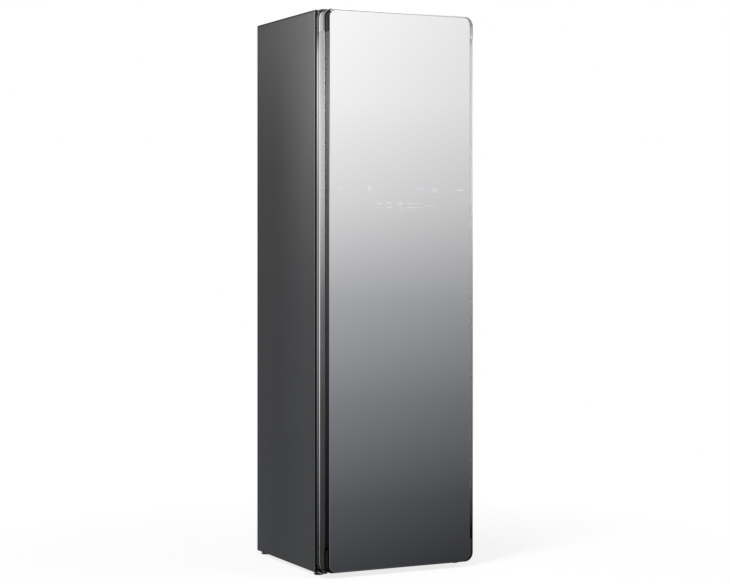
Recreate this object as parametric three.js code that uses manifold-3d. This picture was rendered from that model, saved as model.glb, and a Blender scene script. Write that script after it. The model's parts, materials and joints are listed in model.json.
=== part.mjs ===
// Clothes care steam cabinet with a mirror door, a shaking hanger bar and a heat pump below.
// Millimetres, +X to the viewer's right, +Y to the back, +Z up, origin under the middle of the base.

import * as THREE from 'three';
import { mergeVertices } from 'three/addons/utils/BufferGeometryUtils.js';
import Module from 'manifold-3d';

const wasm = await Module();
wasm.setup();

// Driving dimensions of the whole cabinet
const cabinetWidth = 586;
const overallDepth = 598;
const overallHeight = 1960;
const cabinetLift = 12;
const doorBottom = 18;
const doorTopDrop = 2;
const doorDepth = 68.5;
const doorGap = 11;
const seat = 0.3;
const overrun = 6;

// Round shapes are cut into this many flats
const roundSteps = 22;
const smallRoundSteps = 10;
const cornerSteps = 3;
const softCornerSteps = 1;
const bladeSteps = 2;
const pipeSteps = 22;
const pipeSides = 4;

// Casing sheet metal
const panelSheet = 1.5;
const frontFlange = 22;
const rearFlange = 15;
const flangeLip = 6;
const topFlange = 14;
const topPressingInset = 60;
const topPressingHeight = 0.8;
const trayWall = 40;
const traySheet = 2;
const rearSheet = 1.2;
const rearRibWidth = 24;
const rearRibRadius = 9;
const rearRibHeight = 0.8;
const rearRibSpacing = 260;
const rearRibMargin = 70;
const louvreRows = 8;
const louvreColumns = 2;
const louvreLength = 170;
const louvreSlot = 4;
const louvrePitch = 18;
const louvreColumnPitch = 200;
const louvreBase = 120;
const louvreHood = 5;

// Door
const glassThickness = 4;
const glassInset = 17;
const glassLip = 4;
const glassCornerRadius = 25;
const doorCornerRadius = 32;
const frontLipSetback = 8.5;
const frontLipThickness = 2.4;
const grooveDepth = 24;
const grooveReach = 13;
const capGrooveReach = 15;
const capGrooveStop = 12;
const profileWidth = 24;
const profileWall = 2;
const beadSetback = 46;
const beadWidth = 2.4;
const stripStep = 0.9;
const capHeight = 78;
const capBar = 26;
const linerDepth = 32;
const linerRim = 3;
const gasketInset = 26;
const gasketWidth = 14;
const gasketNose = 8;
const gasketBase = 4;
const gasketTopDrop = 40;
const gasketBottomRise = 40;
const gasketCornerRadius = 12;

// Door hinge
const hingeInset = 18;
const hingeSetback = 47;
const hingePinRadius = 4;
const hingePinLength = 14;
const hingePlate = 4.5;
const hingeNose = 13;
const hingeSweep = 8;
const hingeLeafThickness = 3;
const topLeafHeight = 26;
const bottomLeafHeight = 56;
const runningGap = 0.5;

// Touch display behind the glass
const displayDrop = 646;
const displayMargin = 26;
const displayHeight = 92;
const displayDepth = 12;
const displayPcb = 3;

// Chamber
const chamberWall = 43;
const ceilingDrop = 110;
const chamberRearGap = 84;
const linerWall = 3;
const frameThickness = 12;
const floorThickness = 12;
const floorLedge = 9;
const shelfRise = 178;
const ledgeReach = 11;
const ledgeHeight = 14;
const ledgeMargin = 24;
const wallRibWidth = 10;
const wallRibHeight = 3;
const wallRibs = 5;
const insulationClearance = 1;

// Chamber floor openings
const grilleSlot = 7;
const grillePitch = 15;
const inletGrilleMargin = 18;
const inletGrilleWidth = 110;
const outletGrilleMargin = 22;
const outletGrilleWidth = 120;
const outletGrilleLength = 120;
const grilleRearMargin = 25;
const grilleFrontMargin = 29;
const filterWidth = 170;
const filterThickness = 26;
const filterDeckGap = 42;
const filterCentreShare = 0.48;
const filterSetback = 122;
const filterRim = 5;
const filterHandle = 12;
const filterMullions = 5;
const filterBar = 5;
const aromaWidth = 150;
const aromaHeight = 52;
const aromaCentreShare = -0.44;
const aromaWall = 2.4;
const dropInPlay = 0.5;
const dropInRim = 4;

// Shelf
const shelfThickness = 12;
const shelfFrame = 20;
const shelfPlay = 2.5;
const shelfSlot = 18;
const shelfPitch = 29;
const shelfFrontGap = 34;
const shelfRearGap = 14;

// Moving hanger bar
const barDrop = 50;
const barRadius = 11;
const barEndGap = 35;
const barCapRadius = 13;
const barCapLength = 12;
const barStroke = 10;
const crankPinRadius = 5;
const carriageLength = 220;
const carriageWidth = 50;
const carriageThickness = 6;
const armSpacing = 180;
const armLength = 14;
const armWidth = 10;
const armPlay = 2;
const yokeHeight = 8;
const yokeWall = 8;
const yokePlay = 0.6;
const railWidth = 6;
const railHeight = 8;
const railSpacing = 36;
const driveFloor = 4;
const driveWall = 3;
const driveEndPlay = 8;
const crankRadius = 21;
const crankThickness = 6;
const crankHubHeight = 7;
const crankHubRadius = 9;
const motorShaftRadius = 4;
const motorRadius = 33;
const motorHeight = 40;
const motorPlate = 3;
const motorPlateLength = 116;
const lampLength = 300;
const lampWidth = 24;
const lampThickness = 5;
const lampSetback = 42;

// Hangers
const hangerCount = 3;
const hangerPitch = 130;
const hangerSpan = 340;
const hangerThickness = 14;
const hookWire = 5;
const hookStartAngle = -Math.PI / 6;
const neckLength = 40;
const shoulderDrop = 66;
const shoulderHeight = 15;
const shoulderRise = 10;
const trouserBarDrop = 104;
const trouserBar = 11;
const hangerTip = 9;
const shoulderKneeShare = 0.625;

// Trouser press on the inside of the door
const pressSideMargin = 84;
const pressDrop = 518;
const pressLength = 670;
const pressThickness = 20;
const pressRim = 3;
const pressCornerRadius = 14;
const pressPad = 6;
const pressRecess = 14;
const pressRecessMargin = 8;
const pressHingeOffset = 15;
const pressBarrelRadius = 7;
const pressArmThickness = 5.6;
const pressPinRadius = 2.5;
const pressPinPlay = 0.4;
const pressPinLength = 10;
const pressBarrelLength = 46;
const pressEarLength = 12;
const pressHingeBase = 2;
const pressHingeFlange = 5;
const pressHingeMargin = 90;
const pressRibs = 4;
const pressRibDepth = 3;
const buttonWidth = 22;
const buttonHeight = 64;
const buttonDepth = 11;
const buttonPlay = 0.4;
const buttonTravel = 2;
const buttonMargin = 16;
const buttonWellFloor = 1;

// Water tanks and their bay
const baySideGap = 58;
const bayBottom = 115;
const bayTopDrop = 37;
const bayDepth = 108;
const bayWall = 3;
const tankPlay = 4;
const tankHeadroom = 20;
const tankFrontInset = 8;
const tankRearGap = 4;
const tankWall = 3;
const tankCornerRadius = 12;
const tankMouthRadius = 18;
const tankMouthHeight = 10;
const tankMouthSetback = 40;
const tankGripWidth = 120;
const tankGripHeight = 34;
const tankGripDrop = 40;
const tankGripDepth = 16;
const tankGripWall = 3;

// Machine space
const deckHeight = 290;
const deckThickness = 6;
const coilRoom = 134;
const deckRearGap = 87;
const deckLeg = 16;
const deckLegInset = 10;
const deckHolePlay = 3;
const compressorRadius = 58;
const compressorHeadroom = 49.7;
const compressorDome = 20;
const compressorSideGap = 88;
const compressorSetback = 194;
const compressorFoot = 16;
const compressorFootRadius = 11;
const pipeRadius = 5;
const pipeBend = 40;
const coilTubeRadius = 4;
const finPitch = 20;
const finThickness = 2;
const coilGap = 18;
const coilHeadroom = 18.4;
const coilFrontGap = 54;
const coilRearGap = 7;
const coilRows = 2;
const coilColumns = 1;
const coilTubeSteps = 6;
const fanWheelGap = 3.5;
const fanBladeBand = 12;
const fanWheelWidth = 78;
const fanBlades = 18;
const fanBladeThickness = 1.8;
const fanPlate = 3;
const fanHubRadius = 9;
const fanShaftRadius = 4;
const fanShaftPlay = 0.4;
const fanHousingSideGap = 52;
const fanHousingWidth = 100;
const fanWall = 2.5;
const scrollNeck = 19.4;
const scrollGrowth = 8;
const scrollTongueAngle = 1.15;
const scrollSteps = 20;
const scrollFoot = 2;
const fanSetback = 187;
const fanMotorInset = 21;
const fanMotorLength = 44;
const fanMotorGap = 3;
const fanMotorFoot = 34;
const generatorWidth = 130;
const generatorDepth = 110;
const generatorHeight = 120;
const generatorOffset = -25;
const generatorRearGap = 19;
const generatorCornerRadius = 18;
const generatorNeckRadius = 9;
const generatorNeckHeight = 16;
const generatorNeckInset = 24;
const nozzleRise = 88;
const nozzleTubeRadius = 11;
const nozzleFlangeRadius = 22;
const nozzleFlange = 5;
const nozzleTail = 10;
const nozzleHoleRadius = 5;
const pumpRadius = 25;
const pumpHeight = 66;
const pumpBase = 5;
const pumpPort = 5;
const pumpPortLength = 14;
const pumpSpread = 70;
const controlBoxWidth = 130;
const controlBoxDepth = 65;
const controlBoxHeight = 210;
const controlBoxSideGap = 43;
const controlBoxRearGap = 14;
const controlBoxRib = 3;
const controlBoxRibs = 6;
const cordInletSideGap = 78;
const cordInletHeight = 90;
const cordInletRadius = 13;
const cordInletBore = 5;
const cordInletFlange = 18;
const cordInletDepth = 12;
const cordInletFlangeThickness = 2.5;

// Levelling feet
const footDiscRadius = 17;
const footDisc = 6;
const footNutRadius = 9;
const footStemRadius = 5;
const footStemRise = 24;
const footHolePlay = 0.4;
const footInset = 25;
const frontFootSetback = 105;
const rearFootInset = 28;
const footNutFlats = 6;

// Places worked out from the sizes above
const halfWidth = cabinetWidth / 2;
const glassFront = -overallDepth / 2;
const rearFace = overallDepth / 2;
const doorRear = glassFront + doorDepth;
const cabinetFront = doorRear + doorGap;
const doorTop = overallHeight - doorTopDrop;
const panelInner = halfWidth - panelSheet;
const frameHalf = halfWidth - frontFlange - seat;
const frameBack = cabinetFront + frameThickness;
const chamberHalf = halfWidth - chamberWall;
const chamberCeiling = overallHeight - ceilingDrop;
const chamberRear = rearFace - chamberRearGap;
const barHeight = chamberCeiling - barDrop;
const barHalf = chamberHalf - barEndGap;
const linerFront = frameBack + seat;
const deckTop = deckHeight + deckThickness;
const floorBottom = deckTop + coilRoom;
const chamberFloorTop = floorBottom + floorThickness;
const shelfHeight = chamberFloorTop + shelfRise;
const nozzleHeight = chamberFloorTop + nozzleRise;
const bayTop = chamberFloorTop - bayTopDrop;
const chamberMiddleY = (linerFront + chamberRear) / 2;
const profileInner = halfWidth - profileWidth;
const doorInnerTop = doorTop - capBar - seat;
const doorInnerBottom = doorBottom + capBar + seat;
const displayCentreHeight = doorTop - displayDrop;
const displayHalf = profileInner - displayMargin;
const pressTop = doorTop - pressDrop;
const pressBottom = pressTop - pressLength;
const hingeX = -halfWidth + hingeInset;
const hingeY = glassFront + hingeSetback;
const trayTop = cabinetLift + traySheet;
const machineBottom = trayTop + seat;
const deckRear = rearFace - deckRearGap;
const cordInletX = halfWidth - cordInletSideGap;
const compressorX = -halfWidth + compressorSideGap;
const compressorY = rearFace - compressorSetback;

// Turning three.js geometry into solids that can be cut and joined, and back
function solidOf(geometry) {
  const bare = geometry.clone();
  bare.deleteAttribute('normal');
  bare.deleteAttribute('uv');
  const welded = mergeVertices(bare);
  return new wasm.Manifold(new wasm.Mesh({
    numProp: 3,
    vertProperties: new Float32Array(welded.attributes.position.array),
    triVerts: new Uint32Array(welded.index.array),
  }));
}

function geometryOf(solid) {
  const mesh = solid.getMesh();
  const geometry = new THREE.BufferGeometry();
  geometry.setAttribute('position', new THREE.BufferAttribute(new Float32Array(mesh.vertProperties), 3));
  geometry.setIndex(new THREE.BufferAttribute(new Uint32Array(mesh.triVerts), 1));
  geometry.computeVertexNormals();
  return geometry;
}

function join(...solids) {
  return solids.reduce((whole, part) => whole.add(part));
}

function cut(solid, ...cutters) {
  return cutters.reduce((left, cutter) => left.subtract(cutter), solid);
}

// A block between two planes on each axis
function block([x0, x1], [y0, y1], [z0, z1]) {
  const geometry = new THREE.BoxGeometry(Math.abs(x1 - x0), Math.abs(y1 - y0), Math.abs(z1 - z0));
  geometry.translate((x0 + x1) / 2, (y0 + y1) / 2, (z0 + z1) / 2);
  return solidOf(geometry);
}

// Outlines are drawn flat and carried along an axis: plan outlines rise along Z,
// side outlines (y, z) run along X and front outlines (x, z) run back along Y
function shapeOf(points) {
  return new THREE.Shape(points.map(([a, b]) => new THREE.Vector2(a, b)));
}

function carried(outline, depth, turn, curveSegments = cornerSteps) {
  const shape = Array.isArray(outline) ? shapeOf(outline) : outline;
  const geometry = new THREE.ExtrudeGeometry(shape, { depth, bevelEnabled: false, steps: 1, curveSegments });
  geometry.applyMatrix4(turn);
  return solidOf(geometry);
}

function risen(outline, [z0, z1], steps) {
  return carried(outline, z1 - z0, new THREE.Matrix4().makeTranslation(0, 0, z0), steps);
}

function sideways(outline, [x0, x1], steps) {
  const turn = new THREE.Matrix4().makeBasis(
    new THREE.Vector3(0, 1, 0), new THREE.Vector3(0, 0, 1), new THREE.Vector3(1, 0, 0));
  turn.setPosition(x0, 0, 0);
  return carried(outline, x1 - x0, turn, steps);
}

function backwards(outline, [y0, y1], steps) {
  const turn = new THREE.Matrix4().makeBasis(
    new THREE.Vector3(1, 0, 0), new THREE.Vector3(0, 0, 1), new THREE.Vector3(0, -1, 0));
  turn.setPosition(0, y1, 0);
  return carried(outline, y1 - y0, turn, steps);
}

function roundedRectangle([a0, a1], [b0, b1], radius) {
  const shape = new THREE.Shape();
  shape.moveTo(a0 + radius, b0);
  shape.lineTo(a1 - radius, b0);
  shape.absarc(a1 - radius, b0 + radius, radius, -Math.PI / 2, 0, false);
  shape.lineTo(a1, b1 - radius);
  shape.absarc(a1 - radius, b1 - radius, radius, 0, Math.PI / 2, false);
  shape.lineTo(a0 + radius, b1);
  shape.absarc(a0 + radius, b1 - radius, radius, Math.PI / 2, Math.PI, false);
  shape.lineTo(a0, b0 + radius);
  shape.absarc(a0 + radius, b0 + radius, radius, Math.PI, Math.PI * 3 / 2, false);
  return shape;
}

// Round bars along each axis, given the two other coordinates and the two ends
function barAlong(axis, [a, b], [from, to], radius, steps = roundSteps) {
  const geometry = new THREE.CylinderGeometry(radius, radius, to - from, steps);
  const middle = (from + to) / 2;
  if (axis === 'x') {
    geometry.rotateZ(-Math.PI / 2);
    geometry.translate(middle, a, b);
  } else if (axis === 'y') {
    geometry.translate(a, middle, b);
  } else {
    geometry.rotateX(Math.PI / 2);
    geometry.translate(a, b, middle);
  }
  return solidOf(geometry);
}

// Sheet metal folded along a plan path, its thickness on the left of the way walked
function foldedSheet(path, thickness) {
  const inner = path.map((point, i) => {
    const back = path[Math.max(i - 1, 0)];
    const next = path[Math.min(i + 1, path.length - 1)];
    const arriving = i === 0 ? leftOf(point, next) : leftOf(back, point);
    const leaving = i === path.length - 1 ? arriving : leftOf(point, next);
    const spread = thickness / (1 + arriving[0] * leaving[0] + arriving[1] * leaving[1]);
    return [point[0] + (arriving[0] + leaving[0]) * spread, point[1] + (arriving[1] + leaving[1]) * spread];
  });
  return [...path, ...inner.reverse()];
}

function leftOf(from, to) {
  const length = Math.hypot(to[0] - from[0], to[1] - from[1]);
  return [-(to[1] - from[1]) / length, (to[0] - from[0]) / length];
}

// A span made longer at both ends
function grown([low, high], by) {
  return [low - by, high + by];
}

// A row of equal places centred on a middle, as many as fit a span
function placesAcross(low, high, pitch, width) {
  const count = Math.max(1, Math.floor((high - low - width) / pitch) + 1);
  const middle = (low + high) / 2;
  return Array.from({ length: count }, (_, i) => middle + (i - (count - 1) / 2) * pitch);
}

// Finishes
const finishes = {
  steel: { color: 0x6d7075, roughness: 0.45, metalness: 0.2 },
  galvanised: { color: 0x9a9da0, roughness: 0.5, metalness: 0.7 },
  mirror: { color: 0x8d9196, roughness: 0.06, metalness: 0.9 },
  aluminium: { color: 0xb9bbbd, roughness: 0.3, metalness: 0.9 },
  darkPlastic: { color: 0x33363a, roughness: 0.45, metalness: 0 },
  greyPlastic: { color: 0x8b8f94, roughness: 0.5, metalness: 0 },
  palePlastic: { color: 0xd6d8da, roughness: 0.5, metalness: 0 },
  tankPlastic: { color: 0x5c6268, roughness: 0.25, metalness: 0 },
  foam: { color: 0xe6e3d8, roughness: 0.95, metalness: 0 },
  rubber: { color: 0x1d1e20, roughness: 0.8, metalness: 0 },
  circuit: { color: 0x1f3b2c, roughness: 0.6, metalness: 0 },
  pad: { color: 0x4a4d52, roughness: 0.95, metalness: 0 },
  blackPaint: { color: 0x151618, roughness: 0.5, metalness: 0.1 },
  copper: { color: 0xb66a3c, roughness: 0.35, metalness: 0.95 },
  fins: { color: 0xc4c7c9, roughness: 0.4, metalness: 0.9 },
  diffuser: { color: 0xf2f2ee, roughness: 0.6, metalness: 0 },
};

const cabinet = new THREE.Group();

function place(parent, name, solid, finish) {
  const mesh = new THREE.Mesh(geometryOf(solid), new THREE.MeshStandardMaterial(finishes[finish]));
  mesh.name = name;
  parent.add(mesh);
  return mesh;
}

const sides = [{ name: 'left', sign: -1 }, { name: 'right', sign: 1 }];

// Casing: two folded side panels between which the tray, top and rear panels sit
function sidePanel(sign) {
  const outline = foldedSheet([
    [sign * (halfWidth - frontFlange), cabinetFront + flangeLip],
    [sign * (halfWidth - frontFlange), cabinetFront],
    [sign * halfWidth, cabinetFront],
    [sign * halfWidth, rearFace],
    [sign * (halfWidth - rearFlange), rearFace],
  ], sign * panelSheet);
  return risen(outline, [cabinetLift, overallHeight]);
}

function topPanel() {
  const half = panelInner - seat;
  const front = cabinetFront + flangeLip + seat;
  const back = rearFace - panelSheet - seat;
  const inner = half - panelSheet;
  const shell = block([-half, half], [front, back],
    [overallHeight - topFlange, overallHeight - topPressingHeight]);
  const hollow = block([-inner, inner], [front + panelSheet, back - panelSheet],
    [overallHeight - topFlange - overrun, overallHeight - topPressingHeight - panelSheet]);
  const pressing = risen(roundedRectangle(
    [-half + topPressingInset, half - topPressingInset],
    [front + topPressingInset, back - topPressingInset], topPressingInset / 2),
  [overallHeight - topPressingHeight - panelSheet, overallHeight]);
  return join(cut(shell, hollow), pressing);
}

function rearPanel() {
  const half = panelInner - seat;
  const back = rearFace - panelSheet - seat;
  const front = back - rearSheet;
  const top = overallHeight - topFlange - seat;
  let panel = block([-half, half], [front, back], [cabinetLift, top]);
  const ribHalf = half - rearRibMargin;
  const firstRib = chamberFloorTop + rearRibSpacing / 2;
  for (let z = firstRib; z + rearRibWidth < top; z += rearRibSpacing) {
    const rib = backwards(roundedRectangle([-ribHalf, ribHalf], [z, z + rearRibWidth], rearRibRadius),
      [front, back + rearRibHeight], softCornerSteps);
    panel = panel.add(rib);
  }
  for (let column = 0; column < louvreColumns; column += 1) {
    const middle = (column - (louvreColumns - 1) / 2) * louvreColumnPitch;
    for (let row = 0; row < louvreRows; row += 1) {
      const z = louvreBase + row * louvrePitch;
      const span = [middle - louvreLength / 2, middle + louvreLength / 2];
      const hood = sideways([
        [front - louvreHood, z + louvreSlot],
        [front, z + louvreSlot + louvreHood],
        [front, z + louvreSlot],
      ], span);
      const slot = block([span[0] + rearSheet, span[1] - rearSheet], [front - overrun, back + overrun],
        [z, z + louvreSlot]);
      panel = cut(panel.add(hood), slot);
    }
  }
  const inletHole = barAlong('y', [cordInletX, cordInletHeight], [front - overrun, back + overrun],
    cordInletRadius + seat, smallRoundSteps);
  return cut(panel, inletHole);
}

function cordInletBush() {
  const back = rearFace - panelSheet - seat;
  const body = barAlong('y', [cordInletX, cordInletHeight], [back - cordInletDepth, back + seat],
    cordInletRadius, smallRoundSteps);
  const flangeFront = back + seat;
  const flange = barAlong('y', [cordInletX, cordInletHeight],
    [flangeFront, Math.min(flangeFront + cordInletFlangeThickness, rearFace)], cordInletFlange,
    smallRoundSteps);
  const bore = barAlong('y', [cordInletX, cordInletHeight],
    [back - cordInletDepth - overrun, rearFace + overrun], cordInletBore, smallRoundSteps);
  return cut(body.add(flange), bore);
}

const trayFront = frameBack + seat;
const trayHalf = panelInner - seat;
const trayBack = rearFace - panelSheet - seat - rearSheet - seat;
const footPlaces = [
  { name: 'front_left_foot', x: -halfWidth + footInset, y: glassFront + frontFootSetback },
  { name: 'front_right_foot', x: halfWidth - footInset, y: glassFront + frontFootSetback },
  { name: 'rear_left_foot', x: -halfWidth + footInset, y: rearFace - rearFootInset },
  { name: 'rear_right_foot', x: halfWidth - footInset, y: rearFace - rearFootInset },
];

function baseTray() {
  const shell = block([-trayHalf, trayHalf], [trayFront, trayBack], [cabinetLift, cabinetLift + trayWall]);
  const hollow = block([-trayHalf + traySheet, trayHalf - traySheet],
    [trayFront + traySheet, trayBack - traySheet], [trayTop, cabinetLift + trayWall + overrun]);
  const holes = footPlaces.map(({ x, y }) => barAlong('z', [x, y],
    [cabinetLift - overrun, trayTop + overrun], footStemRadius + footHolePlay, smallRoundSteps));
  return cut(shell, hollow, ...holes);
}

function levellingFoot() {
  const disc = new THREE.LatheGeometry([
    new THREE.Vector2(0, 0),
    new THREE.Vector2(footDiscRadius - footDisc / 4, 0),
    new THREE.Vector2(footDiscRadius, footDisc / 4),
    new THREE.Vector2(footDiscRadius, footDisc / 2),
    new THREE.Vector2(footNutRadius, footDisc),
    new THREE.Vector2(0, footDisc),
  ], roundSteps);
  disc.rotateX(Math.PI / 2);
  const nut = barAlong('z', [0, 0], [footDisc / 2, cabinetLift - seat], footNutRadius, footNutFlats);
  const stem = barAlong('z', [0, 0], [footDisc / 2, trayTop + footStemRise], footStemRadius, smallRoundSteps);
  return join(solidOf(disc), nut, stem);
}

// Front frame: one moulding with the chamber mouth above and the tank bay mouth below
const bayHalf = halfWidth - baySideGap;
function frontFrame() {
  const plate = block([-frameHalf, frameHalf], [cabinetFront, frameBack],
    [cabinetLift, overallHeight - topFlange - seat]);
  const chamberMouth = block([-chamberHalf, chamberHalf], [cabinetFront - overrun, frameBack + overrun],
    [chamberFloorTop, chamberCeiling]);
  const bayMouth = block([-bayHalf, bayHalf], [cabinetFront - overrun, frameBack + overrun],
    [bayBottom, bayTop]);
  return cut(plate, chamberMouth, bayMouth);
}

// Chamber liner: a tub with shelf ledges, pressed ribs and slots for the hanger arms
const ledgeFront = linerFront + ledgeMargin;
const ledgeBack = chamberRear - ledgeMargin;
const armSlotX = barStroke + armLength / 2 + armPlay;
const armSlotY = armWidth / 2 + armPlay;
function chamberLiner() {
  const outerHalf = chamberHalf + linerWall;
  const shell = block([-outerHalf, outerHalf], [linerFront, chamberRear + linerWall],
    [floorBottom - seat - linerWall, chamberCeiling + linerWall]);
  const hollow = block([-chamberHalf, chamberHalf], [linerFront - overrun, chamberRear],
    [floorBottom - seat, chamberCeiling]);
  const drop = block([-chamberHalf + floorLedge, chamberHalf - floorLedge],
    [linerFront - overrun, chamberRear - floorLedge],
    [floorBottom - seat - linerWall - overrun, floorBottom]);
  let liner = cut(shell, hollow, drop);
  for (const { sign } of sides) {
    const ledge = backwards([
      [sign * (chamberHalf + linerWall / 2), shelfHeight],
      [sign * (chamberHalf - ledgeReach), shelfHeight],
      [sign * (chamberHalf - ledgeReach), shelfHeight - ledgeHeight / 2],
      [sign * chamberHalf, shelfHeight - ledgeHeight],
      [sign * (chamberHalf + linerWall / 2), shelfHeight - ledgeHeight],
    ], [ledgeFront, ledgeBack]);
    liner = liner.add(ledge);
    const armSlot = block(
      [sign * armSpacing / 2 - armSlotX, sign * armSpacing / 2 + armSlotX],
      [chamberMiddleY - armSlotY, chamberMiddleY + armSlotY],
      [chamberCeiling - overrun, chamberCeiling + linerWall + overrun]);
    liner = liner.subtract(armSlot);
  }
  const ribLow = shelfHeight + ledgeHeight;
  for (let i = 0; i < wallRibs; i += 1) {
    const x = -chamberHalf + chamberHalf * 2 * (i + 1) / (wallRibs + 1);
    const rib = block([x - wallRibWidth / 2, x + wallRibWidth / 2],
      [chamberRear - wallRibHeight, chamberRear + linerWall / 2], [ribLow, barHeight]);
    liner = liner.add(rib);
  }
  const nozzleHole = barAlong('y', [generatorOffset, nozzleHeight],
    [chamberRear - overrun, chamberRear + linerWall + overrun], nozzleTubeRadius + seat);
  return liner.subtract(nozzleHole);
}

function insulation(sign) {
  const inner = chamberHalf + linerWall + insulationClearance;
  return block([sign * inner, sign * (panelInner - seat)], [linerFront, chamberRear + linerWall],
    [chamberFloorTop, chamberCeiling]);
}

// Chamber floor with its two grilles and the wells of the lint filter and the aroma tray
const filterFront = linerFront + filterSetback;
const filterCentre = chamberHalf * filterCentreShare;
const aromaCentre = chamberHalf * aromaCentreShare;
const filterSpan = [filterCentre - filterWidth / 2, filterCentre + filterWidth / 2];
const filterDepth = [filterFront, filterFront + filterThickness];
const aromaSpan = [aromaCentre - aromaWidth / 2, aromaCentre + aromaWidth / 2];
const inletLeft = -chamberHalf + inletGrilleMargin;
const outletRight = chamberHalf - outletGrilleMargin;
const grilleBack = chamberRear - grilleRearMargin;
const grilles = [
  { across: [inletLeft, inletLeft + inletGrilleWidth], front: filterDepth[1] + grilleFrontMargin },
  { across: [outletRight - outletGrilleWidth, outletRight], front: grilleBack - outletGrilleLength },
];

function chamberFloor() {
  const half = chamberHalf - seat;
  let floor = block([-half, half], [linerFront, chamberRear - seat], [floorBottom, chamberFloorTop]);
  for (const { across, front } of grilles) {
    for (const y of placesAcross(front, grilleBack, grillePitch, grilleSlot)) {
      floor = floor.subtract(block(across, [y - grilleSlot / 2, y + grilleSlot / 2],
        [floorBottom - overrun, chamberFloorTop + overrun]));
    }
  }
  for (const span of [filterSpan, aromaSpan]) {
    floor = floor.subtract(block(grown(span, dropInPlay), grown(filterDepth, dropInPlay),
      [floorBottom - overrun, chamberFloorTop + overrun]));
  }
  return floor;
}

function lintFilter() {
  const bottom = deckTop + filterDeckGap;
  const body = block(filterSpan, filterDepth, [bottom, chamberFloorTop]);
  const rim = block(grown(filterSpan, dropInRim), grown(filterDepth, dropInRim),
    [chamberFloorTop + seat, chamberFloorTop + dropInRim]);
  const neck = block(filterSpan, filterDepth, [chamberFloorTop - overrun, chamberFloorTop + dropInRim]);
  const handleMiddle = (filterDepth[0] + filterDepth[1]) / 2;
  const handle = block([filterCentre - filterWidth / 4, filterCentre + filterWidth / 4],
    [handleMiddle - filterHandle / 4, handleMiddle + filterHandle / 4],
    [chamberFloorTop, chamberFloorTop + dropInRim + filterHandle]);
  let filter = join(body, neck, rim, handle);
  const pane = (filterWidth - filterBar) / filterMullions;
  for (let i = 0; i < filterMullions; i += 1) {
    const low = filterSpan[0] + filterBar + i * pane;
    filter = filter.subtract(block([low, low + pane - filterBar], grown(filterDepth, overrun),
      [bottom + filterRim, floorBottom - filterRim]));
  }
  return filter;
}

function aromaTray() {
  const bottom = chamberFloorTop - aromaHeight;
  const body = block(aromaSpan, filterDepth, [bottom, chamberFloorTop + dropInRim]);
  const rim = block(grown(aromaSpan, dropInRim), grown(filterDepth, dropInRim),
    [chamberFloorTop + seat, chamberFloorTop + dropInRim]);
  const cup = block(grown(aromaSpan, -aromaWall), grown(filterDepth, -aromaWall),
    [bottom + aromaWall, chamberFloorTop + dropInRim + overrun]);
  return cut(join(body, rim), cup);
}

// Shelf: an open grid that lies on the liner's two ledges
function shelf() {
  const half = chamberHalf - shelfPlay;
  const front = linerFront + shelfFrontGap;
  const back = chamberRear - shelfRearGap;
  let grid = risen(roundedRectangle([-half, half], [front, back], shelfFrame / 2),
    [shelfHeight + seat, shelfHeight + seat + shelfThickness]);
  for (const x of placesAcross(-half + shelfFrame, half - shelfFrame, shelfPitch, shelfSlot)) {
    grid = grid.subtract(block([x - shelfSlot / 2, x + shelfSlot / 2],
      [front + shelfFrame, back - shelfFrame],
      [shelfHeight - overrun, shelfHeight + shelfThickness + overrun]));
  }
  return grid;
}

// Steam: generator on the base tray, pipe up behind the liner, nozzle through its rear wall
const generatorBack = rearFace - generatorRearGap;
const generatorFront = generatorBack - generatorDepth;
const generatorTop = machineBottom + generatorHeight;
const steamY = generatorBack - generatorNeckInset;
const nozzleEnd = chamberRear + linerWall + nozzleTail;

function steamGenerator() {
  const body = risen(roundedRectangle(
    [generatorOffset - generatorWidth / 2, generatorOffset + generatorWidth / 2],
    [generatorFront, generatorBack], generatorCornerRadius), [machineBottom, generatorTop]);
  const neck = barAlong('z', [generatorOffset, steamY],
    [generatorTop - generatorNeckHeight, generatorTop + generatorNeckHeight], generatorNeckRadius);
  return body.add(neck);
}

// A round pipe that leaves along one direction and arrives along another, bent between
function pipe(points, radius) {
  const path = new THREE.CurvePath();
  for (let i = 0; i < points.length - 1; i += 1) {
    const from = i === 0 ? points[0] : bendEnds(points, i)[1];
    const to = i === points.length - 2 ? points[i + 1] : bendEnds(points, i + 1)[0];
    path.add(new THREE.LineCurve3(from, to));
    if (i < points.length - 2) {
      const [enter, leave] = bendEnds(points, i + 1);
      path.add(new THREE.QuadraticBezierCurve3(enter, points[i + 1], leave));
    }
  }
  const section = new THREE.Shape();
  section.absarc(0, 0, radius, 0, Math.PI * 2, false);
  return solidOf(new THREE.ExtrudeGeometry(section, {
    extrudePath: path, steps: pipeSteps, curveSegments: pipeSides, bevelEnabled: false,
  }));
}

function bendEnds(points, i) {
  const back = points[i].clone().sub(points[i - 1]);
  const ahead = points[i + 1].clone().sub(points[i]);
  const reach = Math.min(pipeBend, back.length() / 2, ahead.length() / 2);
  return [
    points[i].clone().addScaledVector(back.normalize(), -reach),
    points[i].clone().addScaledVector(ahead.normalize(), reach),
  ];
}

function steamPipe() {
  return pipe([
    new THREE.Vector3(generatorOffset, steamY, generatorTop + generatorNeckHeight + seat),
    new THREE.Vector3(generatorOffset, steamY, nozzleHeight),
    new THREE.Vector3(generatorOffset, nozzleEnd + seat, nozzleHeight),
  ], pipeRadius);
}

function steamNozzle() {
  const axis = [generatorOffset, nozzleHeight];
  const tube = barAlong('y', axis, [chamberRear - nozzleFlange, nozzleEnd], nozzleTubeRadius);
  const flange = barAlong('y', axis, [chamberRear - seat - nozzleFlange, chamberRear - seat],
    nozzleFlangeRadius);
  const bore = barAlong('y', axis, [chamberRear - nozzleFlange - overrun, nozzleEnd + overrun],
    nozzleHoleRadius, smallRoundSteps);
  return cut(tube.add(flange), bore);
}

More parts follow.
